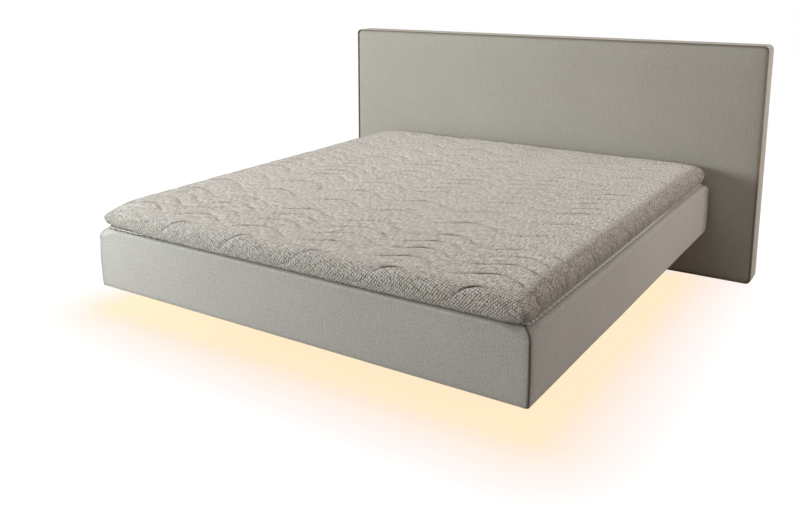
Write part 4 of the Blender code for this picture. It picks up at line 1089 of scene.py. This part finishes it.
def panel_marks(low, high):
    """Panel coordinates: an even pace over the middle, and finer steps over the edges."""
    count = round((high - low - 2 * FACE_REACH) / HEAD_PACE) + 1
    inner = np.linspace(low + FACE_REACH, high - FACE_REACH, count)
    edge = face_arc * (1 - (1 - np.linspace(0, 1, FACE_EDGE_STEPS + 1)[1:]) ** FACE_EDGE_CURVE)
    return np.concatenate([inner[0] - edge[::-1], inner, inner[-1] + edge])


face_u, face_v = np.meshgrid(panel_marks(*HEAD_RECT[:2]), panel_marks(*HEAD_RECT[2:]))
placed, far, _ = wrap(face_u, face_v, HEAD_RECT, FACE_PROFILE, HEAD_RADIUS)
tension = ripple(placed, TENSION_SIZE, seed=7) * TENSION * np.clip(1 - far / face_arc, 0, 1)
face_depth = HEAD_FRONT - placed[..., 2] - tension + FACE_BACK
face_points = np.stack([placed[..., 0], face_depth, placed[..., 1]], -1)
head_front = add_piece(
    "headboard_front_panel", face_points.reshape(-1, 3), grid_faces(*face_u.shape), headboard_cloth,
    "bed", ["headboard_front_cover"], UPHOLSTERY_THICK,
)
print("headboard front", face_u.size, "points")

# %% Headboard piping and border
CORD_RADIUS, CORD_INSET, CORD_SIDES = 0.0022, 0.0013, 12
BORDER_START = ((0.0050, 0.0066), (0.0022, 0.0070), (0.0006, 0.0082))
BORDER_BELLY, BORDER_FROM, BORDER_RUN = 0.0006, 0.010, 0.111
BORDER_END = ((0.0006, 0.1228), (0.0024, 0.1244), (0.0060, 0.1250))
BORDER_FLAT_WIDTH, BORDER_THICK, BORDER_POINTS = 0.126, 0.002, 8


def board_ring(inset, back):
    """A ring round the headboard's outline, at a depth."""
    outline = ring(HEAD_RECT, inset, HEAD_RADIUS - inset, HEAD_PACE)
    return np.column_stack([outline[:, 0], np.full(len(outline), back), outline[:, 1]])


cord_rings = []
for angle in np.arange(CORD_SIDES) * math.tau / CORD_SIDES:
    back = HEAD_FRONT + CORD_RADIUS + CORD_RADIUS * math.sin(angle)
    cord_rings.append(board_ring(CORD_INSET + CORD_RADIUS * math.cos(angle), back))
count = len(cord_rings[0])
add_piece(
    "headboard_piping_cord", np.concatenate(cord_rings), stack_faces(CORD_SIDES, count, closed=True),
    piping_cloth, "bed", ["headboard_piping"],
)

border_profile = [
    (-BORDER_BELLY * math.sin(math.pi * share), BORDER_FROM + BORDER_RUN * share)
    for share in np.linspace(0, 1, BORDER_POINTS)
]
border_profile = [*BORDER_START, *border_profile, *BORDER_END]
border_rings = [board_ring(inset, HEAD_FRONT + depth) for inset, depth in border_profile]
head_border = add_piece(
    "headboard_border_band", np.concatenate(border_rings), stack_faces(len(border_rings), count),
    headboard_cloth, "bed", ["headboard_border"], BORDER_THICK,
)

# %% [markdown]
# ## Foam
# The cores are cold-cured foam cut from blocks: pale, matt and full of tiny open cells. They are
# shut inside the covers, but a part is only good if it is whole, so each plain CAD block gives
# its outline to a foam piece with softened cut edges and a cell texture.

# %% Foam
CELL_MM = 1.4
CELL_SHARE, CLOUDS_PER_METRE = 0.6, 9.0


def cut_foam(name, pale, deep):
    """Open-celled foam: a speckle of cells over a cloudy tone."""
    material, tree, shader = new_finish(name, roughness=0.97, specular_ior_level=0.15)
    place = put(tree, "TexCoord").outputs["Object"]
    cells = put(tree, "TexVoronoi", {"Scale": 1 / (CELL_MM * MM)}, {"Vector": place})
    cloudy = put(tree, "TexNoise", {"Scale": CLOUDS_PER_METRE, "Detail": 3.0}, {"Vector": place})
    speckle = {"operation": "MULTIPLY_ADD", 1: CELL_SHARE}
    tone = put(tree, "Math", speckle, {0: cells.outputs["Distance"], 2: cloudy})
    colour = put(tree, "ValToRGB", {"stops": [(0.35, pale), (1.1, deep)]}, {"Fac": tone})
    wear(tree, shader, colour, cells.outputs["Distance"], 0.5, 0.5 * MM)
    return material


# Cold-cured foam, cut from a block: cream, quite matt, with a fine speckle of cells
core_foam = cut_foam("cold_cured_foam_cream", "#EFE7CF", "#D9CDAE")


def dress(mesh, material):
    """Let a mesh wear one finish alone."""
    mesh.materials.clear()
    mesh.materials.append(material)


print("foam cells of", CELL_MM, "mm")

# %% Foam pieces
SOFT_EDGE, SAME_POINT = 0.002, 1e-5
FLAT_ANGLE, EDGE_ANGLE = math.radians(1), math.radians(50)


def soften_block(node, name, body):
    """A foam piece from a CAD block's outline, with its sharp edges rounded a little."""
    mesh = nodes[node].data.copy()
    mesh.name = name
    work = bmesh.new()
    work.from_mesh(mesh)
    bmesh.ops.remove_doubles(work, verts=work.verts, dist=SAME_POINT)
    bmesh.ops.dissolve_limit(work, angle_limit=FLAT_ANGLE, verts=work.verts, edges=work.edges)
    sharp = [e for e in work.edges if e.is_manifold and e.calc_face_angle() > EDGE_ANGLE]
    bmesh.ops.bevel(work, geom=sharp, offset=SOFT_EDGE, segments=2, affect="EDGES", clamp_overlap=True)
    work.to_mesh(mesh)
    work.free()
    dress(mesh, core_foam)
    piece = bring_in(name, mesh)
    smooth = piece.modifiers.new("keep faces flat", "WEIGHTED_NORMAL")
    smooth.keep_sharp = True
    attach(piece, body)
    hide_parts(node)
    return piece


for node, name in (
    ("edge_foam", "box_edge_foam_ring"),
    ("left_mattress_core", "left_mattress_foam"),
    ("right_mattress_core", "right_mattress_foam"),
    ("headboard_foam", "headboard_foam_pad"),
):
    block = soften_block(node, name, "bed")
    print(name, len(block.data.polygons), "faces")

# %% [markdown]
# ## The topper's foam
# The comfort foam fills the quilted cover up to its wadding. It is the same wrapped panel, drawn
# a few millimetres inward along its own directions, with a coarser grid and a flat underside.

# %% Topper foam
PAD_GAP = 0.0105
PAD_COLUMNS = 44
PAD_INSIDE = 0.004
PAD_UNDER = 0.012

mid_u, mid_v = topper_middle
marks = np.sin(np.linspace(-1, 1, PAD_COLUMNS) * math.pi / 2)
pad_u, pad_v = np.meshgrid(
    mid_u + marks * (panel_u[-1] - mid_u - PAD_INSIDE),
    mid_v + marks * (seam_head - mid_v - PAD_INSIDE),
)
placed, _, _ = over_topper(pad_u, pad_v)
placed = placed + droop(placed)
placed = placed - grid_normals(placed) * PAD_GAP
placed[..., 2] = np.maximum(placed[..., 2], TOPPER_SEAM - PAD_UNDER)
pad_faces = grid_faces(PAD_COLUMNS, PAD_COLUMNS)
grid = np.arange(PAD_COLUMNS * PAD_COLUMNS).reshape(PAD_COLUMNS, PAD_COLUMNS)
rim = [*grid[0, :-1], *grid[:-1, -1], *grid[-1, :0:-1], *grid[:0:-1, 0]]
pad_faces.append(rim[::-1])
topper_pad = add_piece(
    "topper_foam_pad", placed.reshape(-1, 3), pad_faces, core_foam, "topper", ["topper_core"],
)
print("topper foam", len(topper_pad.data.vertices), "points")

# %% [markdown]
# ## Wood and boards
# Spruce rails and beech slats are planed timber: fine grain lines drawn out along the piece and
# a soft sheen. Panels are birch plywood, the plinth is chipboard with a black melamine face, and
# the feet are moulded polyamide. A photo of wood would repeat and would need to be laid on each
# piece. A noise that is stretched along the piece never repeats and needs no laying.

# %% Planed timber
GRAIN_SHARE, BAND_SHARE, WOOD_LEVEL = 0.6, 0.5, -0.05
BAND_WIDTHS = 9


def planed_timber(name, along, pale, deep, grain_mm=2.6, streak_mm=170.0):
    """Grain drawn out along one axis of the piece."""
    material, tree, shader = new_finish(name, roughness=0.55, coat_weight=0.08, coat_roughness=0.4)
    place = put(tree, "TexCoord").outputs["Object"]
    fine, long = 1 / (grain_mm * MM), 1 / (streak_mm * MM)
    scale = tuple(long if axis == along else fine for axis in "xyz")
    drawn = put(tree, "Mapping", {"Scale": scale}, {"Vector": place})
    grain = put(tree, "TexNoise", {"Scale": 1.0, "Detail": 4.0, "Distortion": 0.6}, {"Vector": drawn})
    wide = put(tree, "Mapping", {"Scale": tuple(s / BAND_WIDTHS for s in scale)}, {"Vector": place})
    bands = put(tree, "TexNoise", {"Scale": 1.0, "Detail": 2.0}, {"Vector": wide})
    tone = put(tree, "Math", {"operation": "MULTIPLY_ADD", 1: GRAIN_SHARE, 2: WOOD_LEVEL}, {0: grain})
    tone = put(tree, "Math", {"operation": "MULTIPLY_ADD", 1: BAND_SHARE}, {0: bands, 2: tone})
    colour = put(tree, "ValToRGB", {"stops": [(0.25, deep), (0.75, pale)]}, {"Fac": tone})
    wear(tree, shader, colour, grain, 0.3, 0.25 * MM)
    return material


# Planed spruce: warm, pale and streaked along the piece, the look of plain sound rails
spruce = {axis: planed_timber("planed_spruce_along_" + axis, axis, "#E3C79A", "#BF9460") for axis in "xyz"}
# Steamed beech: pinker, with a closer and shorter grain, so that bent slats look hard and smooth
beech = planed_timber("steamed_beech_slats", "x", "#D9B48A", "#B98A5E", 1.2, 60.0)
# Birch plywood: broad pale figure across a whole sheet, calmer than sawn timber
plywood = planed_timber("birch_plywood", "y", "#DEC49B", "#C2A072", 3.5, 320.0)
print("timber:", beech.name, plywood.name, "and spruce along", ", ".join(spruce))

# %% Boards and moulded faces
PEARL_SHARE, RUBBED_PER_METRE = 0.4, 6.0


def faced_board(name, colour_pale, colour_deep, rough, speck_mm=1.5):
    """A smooth board or moulded face with a fine pearl or grain texture."""
    material, tree, shader = new_finish(name, roughness=rough)
    place = put(tree, "TexCoord").outputs["Object"]
    pearl = put(tree, "TexNoise", {"Scale": 1 / (speck_mm * MM), "Detail": 2.0}, {"Vector": place})
    rubbed = put(tree, "TexNoise", {"Scale": RUBBED_PER_METRE, "Detail": 4.0}, {"Vector": place})
    tone = put(tree, "Math", {"operation": "MULTIPLY_ADD", 1: PEARL_SHARE}, {0: pearl, 2: rubbed})
    colour = put(tree, "ValToRGB", {"stops": [(0.4, colour_deep), (0.95, colour_pale)]}, {"Fac": tone})
    wear(tree, shader, colour, pearl, 0.35, 0.12 * MM)
    return material


# Melamine on chipboard: near black and half dull, so that the plinth drops out of sight
melamine = faced_board("black_melamine_chipboard", "#2E2D2C", "#1B1A1A", 0.42)
# Moulded polyamide: black with a fine eroded grain, which keeps its shine low
polyamide = faced_board("moulded_black_polyamide", "#2B2B2D", "#19191B", 0.50, 0.8)
# Spunbond backing: dark and flat like felt, with a coarse speckle where fibres bond
spunbond = faced_board("black_spunbond_backing", "#3A3937", "#211F1E", 0.90, 2.2)
print("boards:", melamine.name, polyamide.name, spunbond.name)

# %% [markdown]
# ## Metals, plastics and light
# The fittings are zinc-plated steel, the light's channels are anodised aluminium with brushed
# lines along them, the strip is a lacquered board with yellow phosphor chips, and an opal cover
# spreads its light. Plain grey would do for parts so small, but up close a metal shows by its
# grain and by how it smears a reflection, so its noise is stretched along the drawn direction.

# %% Metals
SMOOTHER, ROUGHER = -0.06, 0.08


def plated_metal(name, pale, deep, rough, grain=(1.0, 1.0, 1.0), anisotropy=0.0):
    """Metal whose grain noise is scaled along each axis, in features per mm."""
    material, tree, shader = new_finish(name, metallic=1.0, roughness=rough, anisotropic=anisotropy)
    place = put(tree, "TexCoord").outputs["Object"]
    drawn = put(tree, "Mapping", {"Scale": tuple(g / MM for g in grain)}, {"Vector": place})
    grain_noise = put(tree, "TexNoise", {"Scale": 1.0, "Detail": 3.0}, {"Vector": drawn})
    colour = put(tree, "ValToRGB", {"stops": [(0.3, deep), (0.7, pale)]}, {"Fac": grain_noise})
    span = {"To Min": rough + SMOOTHER, "To Max": rough + ROUGHER}
    uneven = put(tree, "MapRange", span, {"Value": grain_noise})
    tree.links.new(uneven.outputs[0], shader.inputs["Roughness"])
    wear(tree, shader, colour, grain_noise, 0.2, 0.05 * MM)
    return material


# Zinc-plated steel: bluish grey with a cloudy spangle and a soft, broken shine
zinc_steel = plated_metal("zinc_plated_steel", "#D3D6D8", "#B4B8BB", 0.36, (0.25, 0.25, 0.25))
# Anodised aluminium, drawn: pale, with long fine lines that stretch its highlight across
ALUMINIUM = ("#D8DADC", "#C3C6C9", 0.30)
aluminium_x = plated_metal("anodised_aluminium_along_x", *ALUMINIUM, (0.01, 2.0, 2.0), 0.4)
aluminium_y = plated_metal("anodised_aluminium_along_y", *ALUMINIUM, (2.0, 0.01, 2.0), 0.4)
print("metals:", zinc_steel.name, aluminium_x.name, aluminium_y.name)

# %% Light strip and its cover
LED_PITCH = 16.7
STRIP_GLOW = "#FFD9A6"


def light_strip_board(name):
    """White lacquered strip with a yellow phosphor chip every few millimetres."""
    material, tree, shader = new_finish(name, roughness=0.45)
    place = put(tree, "TexCoord").outputs["Object"]
    axes = put(tree, "SeparateXYZ", feeds={"Vector": place})
    run = put(tree, "Math", {"operation": "ADD"}, {0: axes.outputs["X"], 1: axes.outputs["Y"]})
    count = put(tree, "Math", {"operation": "MULTIPLY", 1: 1 / (LED_PITCH * MM)}, {0: run})
    part = put(tree, "Math", {"operation": "PINGPONG", 1: 0.5}, {0: count})
    chip = put(tree, "ValToRGB", {"stops": [(0.34, "#F2F0EA"), (0.36, "#E8C35A")]}, {"Fac": part})
    chip.color_ramp.interpolation = "CONSTANT"
    wear(tree, shader, chip, part, 0.4, 0.4 * MM)
    return material


def opal_diffuser(name, glow, strength):
    """Opal polycarbonate, lit from behind, its warm glow a little cloudy."""
    material, tree, shader = new_finish(name, roughness=0.35, emission_strength=strength)
    shader.inputs["Base Color"].default_value = linear("#F4EBDD")
    place = put(tree, "TexCoord").outputs["Object"]
    cloudy = put(tree, "TexNoise", {"Scale": 40.0, "Detail": 2.0}, {"Vector": place})
    colour = put(tree, "ValToRGB", {"stops": [(0.2, glow), (0.9, "#FFE6C2")]}, {"Fac": cloudy})
    tree.links.new(colour.outputs["Color"], shader.inputs["Emission Color"])
    return material


# White lacquer on a flexible board: half glossy and clean, with square yellow phosphor chips
strip_board = light_strip_board("light_strip_white_lacquer")
# Opal polycarbonate: milky, so that the chips behind it melt into one warm line
opal = opal_diffuser("opal_polycarbonate_lit", STRIP_GLOW, 1.6)
print("light:", strip_board.name, opal.name)

# %% [markdown]
# ## Finishes on the carried-over CAD pieces
# Every rigid CAD piece keeps its shape and only gets its finish. Timber needs to know which way
# its grain runs, and that is the longest side of the piece, so it can be measured.

# %% Give each CAD piece its finish
def longest(node):
    """The axis along which a CAD node is longest."""
    low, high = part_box(node)
    size = high - low
    return "xyz"[max(range(3), key=lambda axis: size[axis])]


FINISH_WORDS = (
    ("slatted_base", beech), ("base_panel", plywood), ("headboard_board", plywood), ("plinth_", melamine),
    ("foot_socket", zinc_steel), ("bracket", zinc_steel), ("topper_zip_slider", zinc_steel),
    ("levelling_foot", polyamide), ("glide", polyamide), ("light_driver", polyamide),
    ("light_strip", strip_board), ("light_diffuser", opal), ("headboard_back_cloth", spunbond),
)


def finish_for(node):
    """The finish that a CAD node's name asks for, or None where a sewn or foam piece stands for it."""
    if node.endswith(("_rail", "_stile", "bearer")) or "plinth_post" in node:
        return spruce[longest(node)]
    if node.startswith("light_channel"):
        return aluminium_x if longest(node) == "x" else aluminium_y
    return next((finish for word, finish in FINISH_WORDS if word in node), None)


finished = [node for node in nodes if finish_for(node)]
for node in finished:
    dress(nodes[node].data, finish_for(node))
print(len(finished), "CAD pieces finished,", len(nodes) - len(finished), "replaced")

# %% [markdown]
# ## Floor and light under the bed
# The bed stands on a pale seamless floor. To the camera the floor shines plain white, as a
# photographer's lit table does, and it keeps a share of its lit surface so that it still shows
# the bed's shadow. Under the bed the strip's warm glow is painted into the floor's colour, not
# cast by the strip: the distance from the box's outline, a rounded rectangle on the floor, drives
# the painted glow from warm inside to white outside.

# %% Floor
FLOOR_SIZE = 24.0
GLOW_CORNER = 0.17
GLOW_START, GLOW_END = 0.01, 0.43
FLOOR_SHINE = 0.98
LIT_SHARE = 0.10
FLOOR_GREY = "#9A948B"
# The picture shows the warm floor reaching furthest out at the left of the box
GLOW_RECT = (BOX_RECT[0] - 0.395, BOX_RECT[1] + 0.055, BOX_RECT[2] + 0.10, BOX_RECT[3] + 0.05)


def seen_directly(tree):
    """1 for a ray from the camera, also by way of gloss or glass, and 0 for light that bounces."""
    ray = put(tree, "LightPath").outputs
    direct = put(tree, "Math", {"operation": "MAXIMUM"}, {0: ray["Is Camera Ray"], 1: ray["Is Glossy Ray"]})
    return put(tree, "Math", {"operation": "MAXIMUM"}, {0: direct, 1: ray["Is Transmission Ray"]})


def floor_with_painted_glow(name, rect):
    """White floor with a painted glow: its colour follows the distance from a rectangle, warm inside it."""
    material = bpy.data.materials.new(name)
    material.use_nodes = True
    tree = material.node_tree
    tree.nodes.clear()
    place = put(tree, "NewGeometry").outputs["Position"]
    middle = ((rect[0] + rect[1]) / 2, (rect[2] + rect[3]) / 2, 0)
    half = ((rect[1] - rect[0]) / 2 - GLOW_CORNER, (rect[3] - rect[2]) / 2 - GLOW_CORNER, 0)
    offset = put(tree, "VectorMath", {"operation": "SUBTRACT", 1: middle}, {0: place})
    folded = put(tree, "VectorMath", {"operation": "ABSOLUTE"}, {0: offset})
    over = put(tree, "VectorMath", {"operation": "SUBTRACT", 1: half}, {0: folded})
    outside = put(tree, "VectorMath", {"operation": "MAXIMUM", 1: (0, 0, 0)}, {0: over})
    reach = put(tree, "VectorMath", {"operation": "LENGTH"}, {0: outside})
    axes = put(tree, "SeparateXYZ", feeds={"Vector": over})
    inner = put(tree, "Math", {"operation": "MAXIMUM"}, {0: axes.outputs["X"], 1: axes.outputs["Y"]})
    inner = put(tree, "Math", {"operation": "MINIMUM", 1: 0.0}, {0: inner})
    distance = put(tree, "Math", {"operation": "ADD"}, {0: reach.outputs["Value"], 1: inner})
    share = put(tree, "MapRange", {"From Min": GLOW_START, "From Max": GLOW_END}, {"Value": distance})
    # Painted glow: warm near the box's outline, white further out
    tint = put(tree, "ValToRGB", {"stops": [
        (0.0, "#FFEBC8"), (0.12, "#FFEACE"), (0.25, "#FFEBDA"), (0.38, "#FFEFE4"),
        (0.52, "#FFF2EC"), (0.655, "#FFF5F2"), (0.77, "#FFF8F6"), (1.0, "#FFFFFF"),
    ]}, {"Fac": share})
    shine = put(tree, "Emission", {"Strength": FLOOR_SHINE}, {"Color": tint})
    dimmed = {"data_type": "RGBA", 0: LIT_SHARE, 6: linear("#000000")}
    shaded = put(tree, "Mix", dimmed, {7: tint}).outputs[2]
    lit = put(tree, "BsdfDiffuse", {"Roughness": 0.3}, {"Color": shaded})
    seen = put(tree, "AddShader", feeds={0: shine, 1: lit})
    plain = put(tree, "BsdfDiffuse", {"Color": linear(FLOOR_GREY)})
    both = put(tree, "MixShader", feeds={0: seen_directly(tree), 1: plain, 2: seen})
    put(tree, "OutputMaterial", feeds={"Surface": both})
    return material


floor_mesh = bpy.data.meshes.new("studio_floor")
corners = [(-1, -1), (1, -1), (1, 1), (-1, 1)]
floor_mesh.from_pydata([(x * FLOOR_SIZE / 2, y * FLOOR_SIZE / 2, 0) for x, y in corners], [], [(0, 1, 2, 3)])
# Seamless white studio floor: plain white to the eye, with the strip's warm glow painted round the box
floor_mesh.materials.append(floor_with_painted_glow("white_floor_with_painted_glow", GLOW_RECT))
bring_in("studio_floor", floor_mesh)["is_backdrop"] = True
print("floor", FLOOR_SIZE, "m wide, glow round the box's outline")

# %% [markdown]
# ## Studio light
# The picture is lit by one broad soft light from the left and in front, which fades along the
# foot end, and a weaker warm one from the right and behind. A soft box overhead lifts the
# topper, and a narrow one behind catches the headboard's right edge. The sky is an even grey
# for light and white for the camera. The lamps are held at a plain level, where a colour
# renders about as it is written.

# %% World and lamps
SKY_LIGHT = 0.30
LAMPS = (
    ("key_from_the_left", (-3.5, -2.8, 1.5), (-0.7, 0.0, 0.5), 1.5, 1.3, 186, "#F1FAFA"),
    ("fill_right_rear", (3.3, 1.5, 1.7), (0.9, 0.4, 0.4), 1.4, 1.4, 32, "#FFF3EC"),
    ("overhead_soft_box", (-0.45, 0.3, 3.4), (-0.45, 0.3, 0.5), 2.4, 2.4, 43, "#FFFDFA"),
    ("rim_behind_right", (1.5, 2.2, 0.9), (1.14, 1.0, 0.6), 0.4, 1.2, 9, "#F4FCF8"),
)

world = bpy.data.worlds.new("studio_world")
bpy.context.scene.world = world
world.use_nodes = True
sky = world.node_tree
sky.nodes.clear()
even = put(sky, "Background", {"Color": linear("#FFF5EA"), "Strength": SKY_LIGHT})
white = put(sky, "Background", {"Color": linear("#FFFFFF"), "Strength": 1.0})
shown_sky = put(sky, "MixShader", feeds={0: seen_directly(sky), 1: even, 2: white})
put(sky, "OutputWorld", feeds={"Surface": shown_sky})

for name, place, target, width, height, watts, colour in LAMPS:
    soft_box = bpy.data.lights.new(name, "AREA")
    soft_box.shape = "RECTANGLE"
    soft_box.size, soft_box.size_y = width, height
    soft_box.energy = watts
    soft_box.color = linear(colour)[:3]
    lamp = bring_in(name, soft_box)
    aim(lamp, place, Vector(target) - Vector(place))
    lamp.visible_camera = False
print("sky", SKY_LIGHT, "and", len(LAMPS), "lamps")

# %% [markdown]
# ## Size of the dressed bed
# The dressed bed's bounds are printed beside the CAD model's; cloth may stand proud of them.

# %% Sizes
dressed_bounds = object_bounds()
for label, (low, high) in (("CAD", cad_bounds), ("dressed", dressed_bounds)):
    print(label, [round(value, 4) for value in (*low, *high)])
